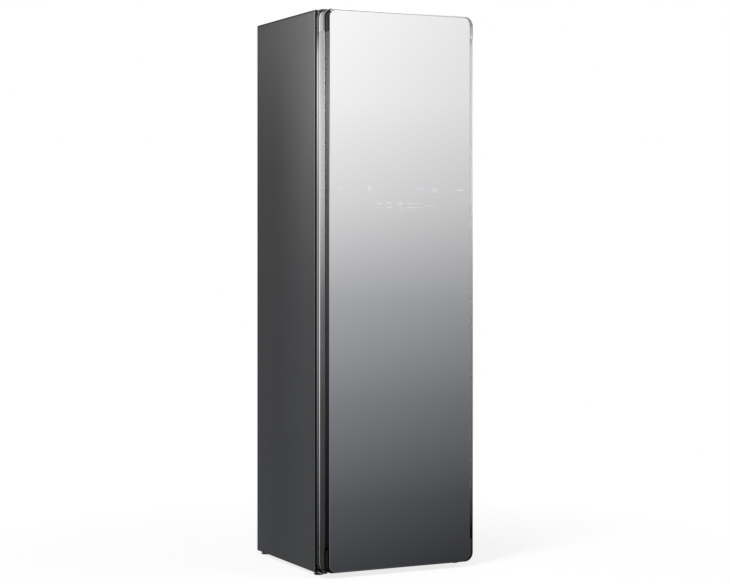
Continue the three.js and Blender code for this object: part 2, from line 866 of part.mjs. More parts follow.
// Hanger drive above the chamber: crank and yoke shake the carriage from side to side
const driveBottom = chamberCeiling + linerWall + seat;
const railTop = driveBottom + driveFloor + railHeight;
const carriageBottom = railTop + seat;
const yokeBottom = carriageBottom + carriageThickness;
const yokeTop = yokeBottom + yokeHeight;
const driveHalfX = carriageLength / 2 + barStroke + driveEndPlay;
const driveHalfY = Math.max(carriageWidth / 2, motorRadius) + driveEndPlay;
const crankBottom = yokeTop + crankPinRadius;
const driveTop = crankBottom + crankThickness + crankHubHeight + runningGap;
const motorFace = driveTop + seat + motorPlate;

function driveHousing() {
  const length = [-driveHalfX, driveHalfX];
  const depth = grown([chamberMiddleY, chamberMiddleY], driveHalfY);
  const outer = block(grown(length, driveWall), grown(depth, driveWall), [driveBottom, driveTop]);
  const inner = block(length, depth, [driveBottom + driveFloor, driveTop + overrun]);
  let housing = cut(outer, inner);
  for (const { sign } of sides) {
    const y = chamberMiddleY + sign * railSpacing / 2;
    housing = housing.add(block(length, [y - railWidth / 2, y + railWidth / 2], [driveBottom, railTop]));
    const x = sign * armSpacing / 2;
    housing = housing.subtract(block([x - armSlotX, x + armSlotX],
      [chamberMiddleY - armSlotY, chamberMiddleY + armSlotY],
      [driveBottom - overrun, driveBottom + driveFloor + overrun]));
  }
  return housing;
}

function driveMotor() {
  const plate = block([-motorPlateLength / 2, motorPlateLength / 2],
    grown([chamberMiddleY, chamberMiddleY], driveHalfY + driveWall), [driveTop + seat, motorFace]);
  const axis = [0, chamberMiddleY];
  const body = barAlong('z', axis, [driveTop + seat, motorFace + motorHeight], motorRadius);
  const shaft = barAlong('z', axis, [crankBottom + seat, motorFace], motorShaftRadius, smallRoundSteps);
  return join(plate, body, shaft);
}

function crank() {
  const axis = [0, chamberMiddleY];
  const hubTop = crankBottom + crankThickness + crankHubHeight;
  const disc = barAlong('z', axis, [crankBottom, crankBottom + crankThickness], crankRadius);
  const hub = barAlong('z', axis, [crankBottom, hubTop], crankHubRadius);
  const pin = barAlong('z', [0, chamberMiddleY + barStroke],
    [yokeTop + runningGap, crankBottom + crankThickness / 2], crankPinRadius, smallRoundSteps);
  const bore = barAlong('z', axis, [crankBottom - overrun, hubTop + overrun], motorShaftRadius + seat,
    smallRoundSteps);
  return cut(join(disc, hub, pin), bore);
}

function hangerBar() {
  const axis = [chamberMiddleY, barHeight];
  const tube = barAlong('x', axis, [-barHalf, barHalf], barRadius);
  const ends = sides.map(({ sign }) => barAlong('x', axis,
    grown([sign * barHalf, sign * barHalf], barCapLength / 2), barCapRadius));
  const arms = sides.map(({ sign }) => block(
    [sign * armSpacing / 2 - armLength / 2, sign * armSpacing / 2 + armLength / 2],
    [chamberMiddleY - armWidth / 2, chamberMiddleY + armWidth / 2], [barHeight, yokeBottom]));
  const plate = risen(roundedRectangle([-carriageLength / 2, carriageLength / 2],
    grown([chamberMiddleY, chamberMiddleY], carriageWidth / 2), yokeWall), [carriageBottom, yokeBottom]);
  const slotHalf = crankPinRadius + yokePlay;
  const yoke = sides.map(({ sign }) => block([sign * slotHalf, sign * (slotHalf + yokeWall)],
    grown([chamberMiddleY, chamberMiddleY], carriageWidth / 2), [carriageBottom, yokeTop]));
  return join(tube, ...ends, ...arms, plate, ...yoke);
}

// A moulded hanger in the plane across the bar, hooked over it, drawn around the bar's axis
function coatHanger() {
  const inner = barRadius + seat;
  const outer = inner + hookWire;
  const middle = (inner + outer) / 2;
  const hook = new THREE.Shape();
  hook.absarc(0, 0, outer, hookStartAngle, Math.PI * 3 / 2, false);
  hook.absarc(0, 0, inner, Math.PI * 3 / 2, hookStartAngle, true);
  const neckTop = -middle;
  const neckBottom = neckTop - neckLength;
  const half = hangerSpan / 2;
  const wire = [-hookWire / 2, hookWire / 2];
  const neck = block(wire, wire, [neckBottom - shoulderHeight / 2, neckTop]);
  const hookSolid = sideways(hook, wire, smallRoundSteps);
  const top = new THREE.SplineCurve([
    new THREE.Vector2(0, neckBottom),
    new THREE.Vector2(half / 4, neckBottom - shoulderDrop / 8),
    new THREE.Vector2(half * shoulderKneeShare, neckBottom - shoulderDrop / 2 + shoulderRise / 2),
    new THREE.Vector2(half, neckBottom - shoulderDrop),
  ]).getPoints(cornerSteps * 2);
  const barBottom = neckBottom - trouserBarDrop;
  const right = [
    ...top.map((point) => [point.x, point.y]),
    [half, neckBottom - shoulderDrop - hangerTip],
    [half - hangerTip * 2, barBottom],
  ];
  const mirrored = (points) => [...points, ...points.slice(1).reverse().map(([y, z]) => [-y, z])];
  const innerTop = top.map((point) => [point.x, point.y - shoulderHeight])
    .filter(([y]) => y < half - shoulderHeight * 2);
  const innerRight = [...innerTop, [half - shoulderHeight * 2, barBottom + trouserBar]];
  const body = cut(sideways(mirrored(right), [-hangerThickness / 2, hangerThickness / 2]),
    sideways(mirrored(innerRight), [-hangerThickness, hangerThickness]));
  return join(body, neck, hookSolid);
}

function lampLens() {
  const front = linerFront + lampSetback;
  const top = chamberCeiling - seat;
  return sideways([
    [front, top],
    [front + lampWidth, top],
    [front + lampWidth - lampThickness / 2, top - lampThickness],
    [front + lampThickness / 2, top - lampThickness],
  ], [-lampLength / 2, lampLength / 2]);
}

// Tank bay: two cells side by side, open to the front
const bayFront = frameBack + seat;
const bayBack = bayFront + bayDepth;
const cellWidth = bayHalf - bayWall / 2;
const tankWidth = cellWidth - tankPlay * 2;
const tankFront = cabinetFront + tankFrontInset;
const tankBack = bayBack - bayWall - tankRearGap;
const tankBottom = bayBottom + seat;

function tankBay() {
  const shell = block([-bayHalf - bayWall, bayHalf + bayWall], [bayFront, bayBack],
    [bayBottom - bayWall, bayTop + bayWall]);
  const cells = sides.map(({ sign }) => block([sign * bayWall / 2, sign * bayHalf],
    [bayFront - overrun, bayBack - bayWall], [bayBottom, bayTop]));
  return cut(shell, ...cells);
}

function waterTank() {
  const half = tankWidth / 2;
  const top = bayTop - tankHeadroom;
  const mouthY = tankFront + tankMouthSetback;
  const mouthTop = top + tankMouthHeight;
  const body = risen(roundedRectangle([-half, half], [tankFront, tankBack], tankCornerRadius),
    [tankBottom, top]);
  const collar = barAlong('z', [0, mouthY], [top - tankWall, mouthTop], tankMouthRadius + tankWall);
  const room = risen(roundedRectangle(grown([-half, half], -tankWall),
    grown([tankFront, tankBack], -tankWall), tankCornerRadius - tankWall),
  [tankBottom + tankWall, top - tankWall]);
  const mouth = barAlong('z', [0, mouthY], [top - tankWall - overrun, mouthTop + overrun], tankMouthRadius);
  const gripTop = top - tankGripDrop;
  const gripBox = block([-tankGripWidth / 2 - tankGripWall, tankGripWidth / 2 + tankGripWall],
    [tankFront, tankFront + tankGripDepth + tankGripWall],
    [gripTop - tankGripHeight - tankGripWall, gripTop + tankGripWall]);
  const grip = block([-tankGripWidth / 2, tankGripWidth / 2],
    [tankFront - overrun, tankFront + tankGripDepth], [gripTop - tankGripHeight, gripTop]);
  return cut(join(cut(body, room), collar, gripBox), mouth, grip);
}

// Machine deck: carries the heat exchangers and the fan under the chamber floor
const deckFront = bayBack + seat;
const deckHalf = panelInner - seat;

function machineDeck() {
  let deck = block([-deckHalf, deckHalf], [deckFront, deckRear], [deckHeight, deckTop]);
  for (const { sign } of sides) {
    const x = sign * (deckHalf - deckLegInset - deckLeg / 2);
    for (const y of [deckFront + deckLegInset + deckLeg / 2, deckRear - deckLegInset - deckLeg / 2]) {
      deck = deck.add(block(grown([x, x], deckLeg / 2), grown([y, y], deckLeg / 2),
        [machineBottom, deckHeight + deckThickness / 2]));
    }
  }
  const pipeHole = barAlong('z', [compressorX, compressorY], [deckHeight - overrun, deckTop + overrun],
    pipeRadius + deckHolePlay, smallRoundSteps);
  return cut(deck, pipeHole);
}

const compressorTop = deckHeight - compressorHeadroom;
function compressor() {
  const bodyBottom = machineBottom + compressorFoot;
  const bodyTop = compressorTop - compressorDome;
  const shell = new THREE.LatheGeometry([
    new THREE.Vector2(0, bodyBottom),
    new THREE.Vector2(compressorRadius - compressorDome / 2, bodyBottom),
    new THREE.Vector2(compressorRadius, bodyBottom + compressorDome / 2),
    new THREE.Vector2(compressorRadius, bodyTop),
    new THREE.Vector2(compressorRadius - compressorDome / 3, bodyTop + compressorDome * 2 / 3),
    new THREE.Vector2(compressorRadius / 2, bodyTop + compressorDome),
    new THREE.Vector2(0, bodyTop + compressorDome),
  ], roundSteps);
  shell.rotateX(Math.PI / 2);
  shell.translate(compressorX, compressorY, 0);
  const feet = [0, 1, 2].map((i) => {
    const angle = i * Math.PI * 2 / 3 + Math.PI / 6;
    const reach = compressorRadius - compressorFootRadius;
    const centre = [compressorX + reach * Math.cos(angle), compressorY + reach * Math.sin(angle)];
    return barAlong('z', centre, [machineBottom, bodyBottom + compressorDome], compressorFootRadius,
      smallRoundSteps);
  });
  return join(solidOf(shell), ...feet);
}

// The coils share the room between the compressor and the fan
const fanHousingLeft = chamberHalf - fanHousingSideGap - fanHousingWidth;
const coilRoomLeft = compressorX + compressorRadius;
const coilWidth = (fanHousingLeft - coilRoomLeft - coilGap * 3) / 2;
const evaporatorLeft = coilRoomLeft + coilGap;
const condenserLeft = evaporatorLeft + coilWidth + coilGap;
const coilBottom = deckTop + seat;
const coilTop = floorBottom - linerWall - coilHeadroom;
const coilFront = deckFront + coilFrontGap;
const coilBack = deckRear - coilRearGap;
function refrigerantPipe() {
  const height = (coilBottom + coilTop) / 2;
  return pipe([
    new THREE.Vector3(compressorX, compressorY, compressorTop + seat),
    new THREE.Vector3(compressorX, compressorY, height),
    new THREE.Vector3(evaporatorLeft - seat, compressorY, height),
  ], pipeRadius);
}

// Fin and tube coil: upright fins in a row, threaded on straight tubes
function finCoil(left) {
  const fins = placesAcross(coilFront, coilBack, finPitch, finThickness)
    .map((y) => block([left, left + coilWidth], grown([y, y], finThickness / 2), [coilBottom, coilTop]));
  const tubes = [];
  for (let row = 0; row < coilRows; row += 1) {
    for (let column = 0; column < coilColumns; column += 1) {
      const x = left + coilWidth * (column + 1) / (coilColumns + 1);
      const z = coilBottom + (coilTop - coilBottom) * (row + 1) / (coilRows + 1);
      tubes.push(barAlong('y', [x, z], [coilFront, coilBack], coilTubeRadius, coilTubeSteps));
    }
  }
  return join(...fins, ...tubes);
}

// Fan: the scroll grows from the tongue round to the outlet duct, which rises to the floor grille
const fanY = rearFace - fanSetback;
const fanDuctTop = floorBottom - seat;
const scrollWide = (fanDuctTop - deckTop - seat - scrollFoot - scrollNeck) / 2;
const scrollTight = scrollWide - scrollGrowth;
const fanCentreZ = deckTop + seat + scrollFoot + scrollWide;
const fanWheelRadius = scrollTight - fanWall - fanWheelGap;
const fanEye = fanWheelRadius - fanBladeBand;
const fanMotorRadius = scrollTight - fanMotorInset;
function scrollOutline(inset) {
  const points = [];
  for (let i = 0; i <= scrollSteps; i += 1) {
    const share = i / scrollSteps;
    const angle = scrollTongueAngle + share * (Math.PI * 2 - scrollTongueAngle);
    const radius = scrollTight + (scrollWide - scrollTight) * share - inset;
    points.push([fanY + radius * Math.cos(angle), fanCentreZ + radius * Math.sin(angle)]);
  }
  const ductOuter = fanY + scrollWide - inset;
  const ductInner = fanY + scrollTight * Math.cos(scrollTongueAngle) + inset;
  const ductTop = fanDuctTop + (inset > 0 ? overrun : 0);
  return [[ductInner, ductTop], ...points, [ductOuter, ductTop]];
}

const fanHousingRight = fanHousingLeft + fanHousingWidth;
function blowerHousing() {
  const shell = sideways(scrollOutline(0), [fanHousingLeft, fanHousingRight]);
  const room = sideways(scrollOutline(fanWall), [fanHousingLeft + fanWall, fanHousingRight - fanWall]);
  const foot = block([fanHousingLeft, fanHousingRight], grown([fanY, fanY], scrollTight / 2),
    [deckTop + seat, fanCentreZ - scrollTight]);
  const hollowShell = cut(shell.add(foot), room);
  const axis = [fanY, fanCentreZ];
  const inlet = barAlong('x', axis, [fanHousingLeft - overrun, fanHousingLeft + fanWall + overrun], fanEye);
  const shaftHole = barAlong('x', axis, [fanHousingRight - fanWall - overrun, fanHousingRight + overrun],
    fanShaftRadius * 2, smallRoundSteps);
  return cut(hollowShell, inlet, shaftHole);
}

const wheelLeft = (fanHousingLeft + fanHousingRight - fanWheelWidth) / 2;
const wheelRight = wheelLeft + fanWheelWidth;
function blowerWheel() {
  const axis = [fanY, fanCentreZ];
  const disc = barAlong('x', axis, [wheelRight - fanPlate, wheelRight], fanWheelRadius);
  const ring = cut(barAlong('x', axis, [wheelLeft, wheelLeft + fanPlate], fanWheelRadius),
    barAlong('x', axis, [wheelLeft - overrun, wheelLeft + fanPlate + overrun], fanEye));
  const hub = barAlong('x', axis, [wheelRight - fanWheelWidth / 2, wheelRight], fanHubRadius,
    smallRoundSteps);
  const bladeRadius = fanBladeBand / 2;
  const middle = fanEye + bladeRadius;
  const blades = Array.from({ length: fanBlades }, (_, i) => {
    const blade = new THREE.Shape();
    blade.absarc(0, 0, bladeRadius, -Math.PI / 2, Math.PI / 3, false);
    blade.absarc(0, 0, bladeRadius - fanBladeThickness, Math.PI / 3, -Math.PI / 2, true);
    const angle = i * Math.PI * 2 / fanBlades;
    const turn = new THREE.Matrix4().makeBasis(
      new THREE.Vector3(0, 1, 0), new THREE.Vector3(0, 0, 1), new THREE.Vector3(1, 0, 0));
    const spin = new THREE.Matrix4().makeRotationZ(angle);
    const out = new THREE.Matrix4().makeTranslation(middle, 0, 0);
    const shift = new THREE.Matrix4().makeTranslation(wheelLeft, fanY, fanCentreZ);
    return carried(blade, fanWheelWidth - fanPlate / 2,
      shift.multiply(turn).multiply(spin).multiply(out), bladeSteps);
  });
  const bore = barAlong('x', axis, [wheelLeft - overrun, wheelRight + overrun],
    fanShaftRadius + fanShaftPlay, smallRoundSteps);
  return cut(join(disc, ring, hub, ...blades), bore);
}

function blowerMotor() {
  const axis = [fanY, fanCentreZ];
  const left = fanHousingRight + fanMotorGap;
  const body = barAlong('x', axis, [left, left + fanMotorLength], fanMotorRadius);
  const shaft = barAlong('x', axis, [wheelRight - fanWheelWidth / 2 + overrun, left + fanMotorLength / 2],
    fanShaftRadius, smallRoundSteps);
  const stand = block([left, left + fanMotorLength], grown([fanY, fanY], fanMotorFoot / 2),
    [deckTop + seat, fanCentreZ]);
  return join(body, shaft, stand);
}

const pumpY = (bayBack + generatorFront) / 2;
function pump(x) {
  const bottom = machineBottom;
  const y = pumpY;
  const base = risen(roundedRectangle(grown([x, x], pumpRadius), grown([y, y], pumpRadius), pumpBase),
    [bottom, bottom + pumpBase]);
  const body = barAlong('z', [x, y], [bottom, bottom + pumpHeight], pumpRadius - pumpBase);
  const ports = [bottom + pumpHeight / 3, bottom + pumpHeight * 2 / 3].map((z) => barAlong('y', [x, z],
    [y - pumpRadius - pumpPortLength, y], pumpPort, smallRoundSteps));
  return join(base, body, ...ports);
}

function controlBoxSolid() {
  const right = halfWidth - controlBoxSideGap;
  const left = right - controlBoxWidth;
  const back = rearFace - controlBoxRearGap;
  const front = back - controlBoxDepth;
  const height = [machineBottom, machineBottom + controlBoxHeight];
  let box = block([left, right], [front, back], height);
  for (const x of placesAcross(left, right, controlBoxWidth / controlBoxRibs, controlBoxRib)) {
    box = box.add(block(grown([x, x], controlBoxRib / 2), [front - controlBoxRib, front], height));
  }
  return box;
}

// Hinge brackets: a leaf on the cabinet front, a plate across the gap and a pin into the door
const leafLeft = hingeX - hingeNose;
const leafRight = -halfWidth + gasketInset - runningGap * 2;
const leafBack = cabinetFront - seat;
const leafFront = leafBack - hingeLeafThickness;
function hingeBracket(plateLow, leafZ, pinZ) {
  const plateHigh = plateLow + hingePlate;
  const plate = block([leafLeft, leafRight], [hingeY, leafBack], [plateLow, plateHigh]);
  const nose = barAlong('z', [hingeX, hingeY], [plateLow, plateHigh], hingeNose);
  const leaf = block([leafLeft, leafRight], [leafFront, leafBack], leafZ);
  const pin = barAlong('z', [hingeX, hingeY], pinZ, hingePinRadius, smallRoundSteps);
  return join(plate, nose, leaf, pin);
}

const topPlateLow = doorTop - hingePlate;
const bottomPlateLow = doorBottom - runningGap - hingePlate;
const topHinge = () => hingeBracket(topPlateLow, [doorTop - topLeafHeight, doorTop],
  [topPlateLow - hingePinLength, topPlateLow + hingePlate / 2]);
const bottomHinge = () => hingeBracket(bottomPlateLow, [bottomPlateLow, bottomPlateLow + bottomLeafHeight],
  [bottomPlateLow + hingePlate / 2, doorBottom + hingePinLength]);

// Door side section in plan: a lip, a round finger groove, and two strips with a bead between
function sideSection(sign, grooveTo) {
  const at = (inwards, back) => [sign * (halfWidth - inwards), glassFront + back];
  const section = new THREE.Shape();
  const glassBack = glassThickness + seat;
  section.moveTo(...at(0, frontLipSetback));
  section.lineTo(...at(stripStep, frontLipSetback + beadWidth));
  section.lineTo(...at(stripStep, beadSetback - beadWidth));
  section.quadraticCurveTo(...at(-stripStep, beadSetback), ...at(stripStep, beadSetback + beadWidth));
  section.lineTo(...at(stripStep, doorDepth));
  section.lineTo(...at(profileWidth, doorDepth));
  section.lineTo(...at(profileWidth, glassBack));
  section.lineTo(...at(glassInset + seat, glassBack));
  section.quadraticCurveTo(...at(glassInset + seat, frontLipSetback + grooveDepth),
    ...at(grooveTo - seat, frontLipSetback + grooveDepth));
  section.quadraticCurveTo(...at(frontLipThickness, frontLipSetback + grooveDepth),
    ...at(frontLipThickness, frontLipSetback));
  return section;
}

function sideProfile(sign) {
  const low = doorBottom + capHeight + seat;
  const high = doorTop - capHeight - seat;
  const hollow = [
    [halfWidth - stripStep - profileWall, glassFront + frontLipSetback + grooveDepth + profileWall],
    [halfWidth - profileWidth + profileWall, glassFront + frontLipSetback + grooveDepth + profileWall],
    [halfWidth - profileWidth + profileWall, doorRear - profileWall],
    [halfWidth - stripStep - profileWall, doorRear - profileWall],
  ].map(([x, y]) => [sign * x, y]);
  return cut(risen(sideSection(sign, grooveReach), [low, high]),
    risen(hollow, [low - overrun, high + overrun]));
}

// Door cap: two legs that carry on the side section, a bar across and rounded door corners
function doorCap(upper) {
  const end = upper ? doorTop : doorBottom;
  const inwards = upper ? -1 : 1;
  const zs = (a, b) => [end + inwards * a, end + inwards * b].sort((p, q) => p - q);
  const legs = sides.map(({ sign }) => risen(sideSection(sign, capGrooveReach), zs(0, capHeight)));
  const stops = sides.map(({ sign }) => block([sign * (profileInner - seat), sign * halfWidth],
    [glassFront + frontLipSetback, doorRear], zs(0, capGrooveStop)));
  const bar = block([-profileInner - seat, profileInner + seat],
    [glassFront + glassThickness + seat, doorRear], zs(0, capBar));
  const lip = block([-halfWidth, halfWidth], [glassFront + frontLipSetback / 2, doorRear],
    zs(0, glassLip - seat));
  const rough = join(...legs, ...stops, bar, lip);
  const outline = backwards(roundedRectangle([-halfWidth, halfWidth], [doorBottom, doorTop],
    doorCornerRadius), [glassFront, doorRear]);
  let cap = rough.intersect(outline);
  const boreDepth = hingePinLength + runningGap;
  if (upper) {
    const pocket = block([-halfWidth - overrun, hingeX + hingeNose + runningGap],
      [hingeY - hingeNose - hingeSweep, doorRear + overrun],
      [topPlateLow - runningGap, doorTop + overrun]);
    const bore = barAlong('z', [hingeX, hingeY], [topPlateLow - boreDepth, doorTop + overrun],
      hingePinRadius + seat, smallRoundSteps);
    cap = cut(cap, pocket, bore);
  } else {
    cap = cut(cap, barAlong('z', [hingeX, hingeY], [doorBottom - overrun, doorBottom + boreDepth],
      hingePinRadius + seat, smallRoundSteps));
  }
  return cap;
}

function doorGlass() {
  const half = halfWidth - glassInset;
  return backwards(roundedRectangle([-half, half], [doorBottom + glassLip, doorTop - glassLip],
    glassCornerRadius), [glassFront, glassFront + glassThickness]);
}

const linerFace = doorRear - linerDepth;
function doorCore() {
  const half = profileInner - seat;
  const front = glassFront + glassThickness + seat;
  const core = block([-half, half], [front, linerFace - seat], [doorInnerBottom, doorInnerTop]);
  const pocket = block(grown([-displayHalf, displayHalf], seat),
    [front - overrun, front + displayDepth + seat],
    grown([displayCentreHeight, displayCentreHeight], displayHeight / 2 + seat));
  return cut(core, pocket);
}

function displayModule() {
  const front = glassFront + glassThickness + seat;
  const height = grown([displayCentreHeight, displayCentreHeight], displayHeight / 2);
  const panel = backwards(roundedRectangle([-displayHalf, displayHalf], height, displayPcb),
    [front, front + displayDepth / 2]);
  const board = block(grown([-displayHalf, displayHalf], -displayPcb),
    [front + displayDepth / 4, front + displayDepth], grown(height, -displayPcb));
  return join(panel, board);
}

// Door liner: a pan with a recess for the press
const pressRight = profileInner - pressSideMargin;
const pressLeft = -pressRight;
const pressHingeX = pressLeft - pressHingeOffset;
const recessFloor = doorRear - pressRecess;
const padFace = recessFloor + seat + pressPad;
const pressFront = padFace + seat;
const pressBack = pressFront + pressThickness;
const pressBlockBack = doorRear + seat + pressHingeBase;
const pressHingeY = pressBlockBack + runningGap * 2 + pressBarrelRadius;
const pressHingeHeights = [pressBottom + pressHingeMargin, pressTop - pressHingeMargin];
function doorLiner() {
  const half = profileInner - seat;
  const pan = block([-half, half], [linerFace, doorRear], [doorInnerBottom, doorInnerTop]);
  const hollow = block([-half + linerRim, half - linerRim], [linerFace - overrun, recessFloor - linerRim],
    [doorInnerBottom + linerRim, doorInnerTop - linerRim]);
  const recess = backwards(roundedRectangle([pressLeft - pressRecessMargin, pressRight + pressRecessMargin],
    [pressBottom - pressRecessMargin, pressTop + pressRecessMargin], pressCornerRadius),
  [recessFloor, doorRear + overrun]);
  return cut(pan, hollow, recess);
}

// Hinge block of the press: a plate on the liner with two bored ears
function pressHingeBlock(middle) {
  const axis = [pressHingeX, pressHingeY];
  const centreOffset = pressBarrelLength / 2 + runningGap + pressEarLength / 2;
  const reach = centreOffset + pressEarLength / 2;
  let blockSolid = block(grown([pressHingeX, pressHingeX], pressBarrelRadius + pressHingeFlange),
    [doorRear + seat, pressBlockBack], grown([middle, middle], reach));
  for (const { sign } of sides) {
    const centre = middle + sign * centreOffset;
    const earSpan = grown([centre, centre], pressEarLength / 2);
    const ear = block(grown([pressHingeX, pressHingeX], pressBarrelRadius),
      [doorRear + seat, pressHingeY], earSpan);
    const round = barAlong('z', axis, earSpan, pressBarrelRadius, smallRoundSteps);
    const bore = barAlong('z', axis, grown(earSpan, runningGap), pressPinRadius + pressPinPlay,
      smallRoundSteps);
    blockSolid = cut(join(blockSolid, ear, round), bore);
  }
  return blockSolid;
}

function pressPadSolid() {
  return backwards(roundedRectangle([pressLeft, pressRight], [pressBottom, pressTop], pressCornerRadius),
    [recessFloor + seat, padFace]);
}

const buttonX = pressRight - buttonMargin - buttonWidth / 2;
const buttonZ = (pressBottom + pressTop) / 2;
const wellBack = pressBack - buttonDepth;
function pressPlate() {
  let plate = backwards(roundedRectangle([pressLeft, pressRight], [pressBottom, pressTop],
    pressCornerRadius), [pressFront, pressBack]);
  const dishLeft = pressLeft + pressCornerRadius;
  const dishRight = buttonX - buttonWidth;
  const ribPitch = (dishRight - dishLeft) / (pressRibs + 1);
  for (let i = 0; i <= pressRibs; i += 1) {
    const low = dishLeft + i * ribPitch + pressRim;
    plate = plate.subtract(backwards(roundedRectangle([low, low + ribPitch - pressRim * 2],
      [pressBottom + pressCornerRadius, pressTop - pressCornerRadius], pressRim),
    [pressBack - pressRibDepth, pressBack + overrun], softCornerSteps));
  }
  for (const middle of pressHingeHeights) {
    const z = grown([middle, middle], pressBarrelLength / 2);
    const barrel = barAlong('z', [pressHingeX, pressHingeY], z, pressBarrelRadius, smallRoundSteps);
    const arm = block([pressHingeX, pressLeft + pressCornerRadius],
      [pressHingeY, pressHingeY + pressArmThickness], z);
    const pins = barAlong('z', [pressHingeX, pressHingeY], grown(z, pressPinLength), pressPinRadius,
      smallRoundSteps);
    plate = join(plate, barrel, arm, pins);
  }
  const well = block(grown([buttonX, buttonX], buttonWidth / 2 + buttonPlay),
    [wellBack - buttonWellFloor, pressBack + overrun],
    grown([buttonZ, buttonZ], buttonHeight / 2 + buttonPlay));
  return plate.subtract(well);
}

function pressButton() {
  const front = wellBack - buttonWellFloor + buttonTravel + runningGap;
  return backwards(roundedRectangle(grown([buttonX, buttonX], buttonWidth / 2),
    grown([buttonZ, buttonZ], buttonHeight / 2), pressRim), [front, pressBack + buttonTravel + runningGap]);
}

// Gasket: a base strip and a narrower soft nose, carried round the door's rear face
function doorGasket() {
  const outerX = halfWidth - gasketInset;
  const low = doorBottom + gasketBottomRise;
  const high = doorTop - gasketTopDrop;
  const ring = (inset, width, ys) => {
    const outer = roundedRectangle(grown([-outerX, outerX], -inset), grown([low, high], -inset),
      gasketCornerRadius);
    const hole = roundedRectangle(grown([-outerX, outerX], -inset - width),
      grown([low, high], -inset - width), gasketCornerRadius / 2);
    outer.holes.push(hole);
    return backwards(outer, ys);
  };
  const inset = (gasketWidth - gasketNose) / 2;
  return join(ring(0, gasketWidth, [doorRear + seat, doorRear + seat + gasketBase]),
    ring(inset, gasketNose, [doorRear + seat + gasketBase / 2, cabinetFront - seat]));
}

// Assembly
place(cabinet, 'base_tray', baseTray(), 'galvanised');
for (const { name, sign } of sides) {
  place(cabinet, `${name}_side_panel`, sidePanel(sign), 'steel');
  place(cabinet, `${name}_insulation`, insulation(sign), 'foam');
}
place(cabinet, 'top_panel', topPanel(), 'steel');
place(cabinet, 'rear_panel', rearPanel(), 'galvanised');
place(cabinet, 'cord_inlet', cordInletBush(), 'rubber');
place(cabinet, 'front_frame', frontFrame(), 'greyPlastic');
place(cabinet, 'chamber_liner', chamberLiner(), 'palePlastic');
place(cabinet, 'chamber_floor', chamberFloor(), 'greyPlastic');
place(cabinet, 'lamp_lens', lampLens(), 'diffuser');
place(cabinet, 'steam_nozzle', steamNozzle(), 'greyPlastic');
place(cabinet, 'steam_pipe', steamPipe(), 'rubber');
place(cabinet, 'steam_generator', steamGenerator(), 'galvanised');
place(cabinet, 'drive_housing', driveHousing(), 'darkPlastic');
place(cabinet, 'drive_motor', driveMotor(), 'galvanised');
place(cabinet, 'tank_bay', tankBay(), 'palePlastic');
place(cabinet, 'machine_deck', machineDeck(), 'darkPlastic');
place(cabinet, 'compressor', compressor(), 'blackPaint');
place(cabinet, 'refrigerant_pipe', refrigerantPipe(), 'copper');
place(cabinet, 'evaporator', finCoil(evaporatorLeft), 'fins');
place(cabinet, 'condenser', finCoil(condenserLeft), 'fins');
place(cabinet, 'blower_housing', blowerHousing(), 'darkPlastic');
place(cabinet, 'blower_motor', blowerMotor(), 'galvanised');
place(cabinet, 'supply_pump', pump(-pumpSpread), 'darkPlastic');
place(cabinet, 'drain_pump', pump(pumpSpread), 'darkPlastic');
place(cabinet, 'control_box', controlBoxSolid(), 'galvanised');
place(cabinet, 'top_hinge_bracket', topHinge(), 'blackPaint');
place(cabinet, 'bottom_hinge_bracket', bottomHinge(), 'blackPaint');
for (const { name, x, y } of footPlaces) {
  place(cabinet, name, levellingFoot(), 'darkPlastic').position.set(x, y, 0);
}

const door = new THREE.Group();
cabinet.add(door);
place(door, 'door_glass', doorGlass(), 'mirror');
for (const { name, sign } of sides) place(door, `door_${name}_profile`, sideProfile(sign), 'aluminium');
place(door, 'door_top_cap', doorCap(true), 'darkPlastic');
place(door, 'door_bottom_cap', doorCap(false), 'darkPlastic');
place(door, 'door_core', doorCore(), 'foam');
place(door, 'door_liner', doorLiner(), 'palePlastic');
place(door, 'door_gasket', doorGasket(), 'rubber');
place(door, 'display_module', displayModule(), 'circuit');
place(door, 'press_pad', pressPadSolid(), 'pad');
place(door, 'lower_press_hinge', pressHingeBlock(pressHingeHeights[0]), 'darkPlastic');
place(door, 'upper_press_hinge', pressHingeBlock(pressHingeHeights[1]), 'darkPlastic');
place(door, 'press_plate', pressPlate(), 'greyPlastic');
place(door, 'press_button', pressButton(), 'darkPlastic');

place(cabinet, 'hanger_bar', hangerBar(), 'greyPlastic');
place(cabinet, 'drive_crank', crank(), 'palePlastic');
for (let i = 0; i < hangerCount; i += 1) {
  const hanger = place(cabinet, `coat_hanger_${i + 1}`, coatHanger(), 'darkPlastic');
  hanger.position.set((i - (hangerCount - 1) / 2) * hangerPitch, chamberMiddleY, barHeight);
}
place(cabinet, 'shelf', shelf(), 'greyPlastic');
place(cabinet, 'lint_filter', lintFilter(), 'darkPlastic');
place(cabinet, 'aroma_tray', aromaTray(), 'greyPlastic');
place(cabinet, 'blower_wheel', blowerWheel(), 'darkPlastic');
place(cabinet, 'water_supply_tank', waterTank(), 'tankPlastic').position.setX(-(bayWall / 2 + cellWidth / 2));
place(cabinet, 'drain_tank', waterTank(), 'tankPlastic').position.setX(bayWall / 2 + cellWidth / 2);

export default cabinet;
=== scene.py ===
"""Clothes care steam cabinet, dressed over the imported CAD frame.

The frame is in metres with Z up, and the door faces -Y. Shapes are worked out
in millimetres in that frame, and piece() turns them into metres once.
"""

import json
import math

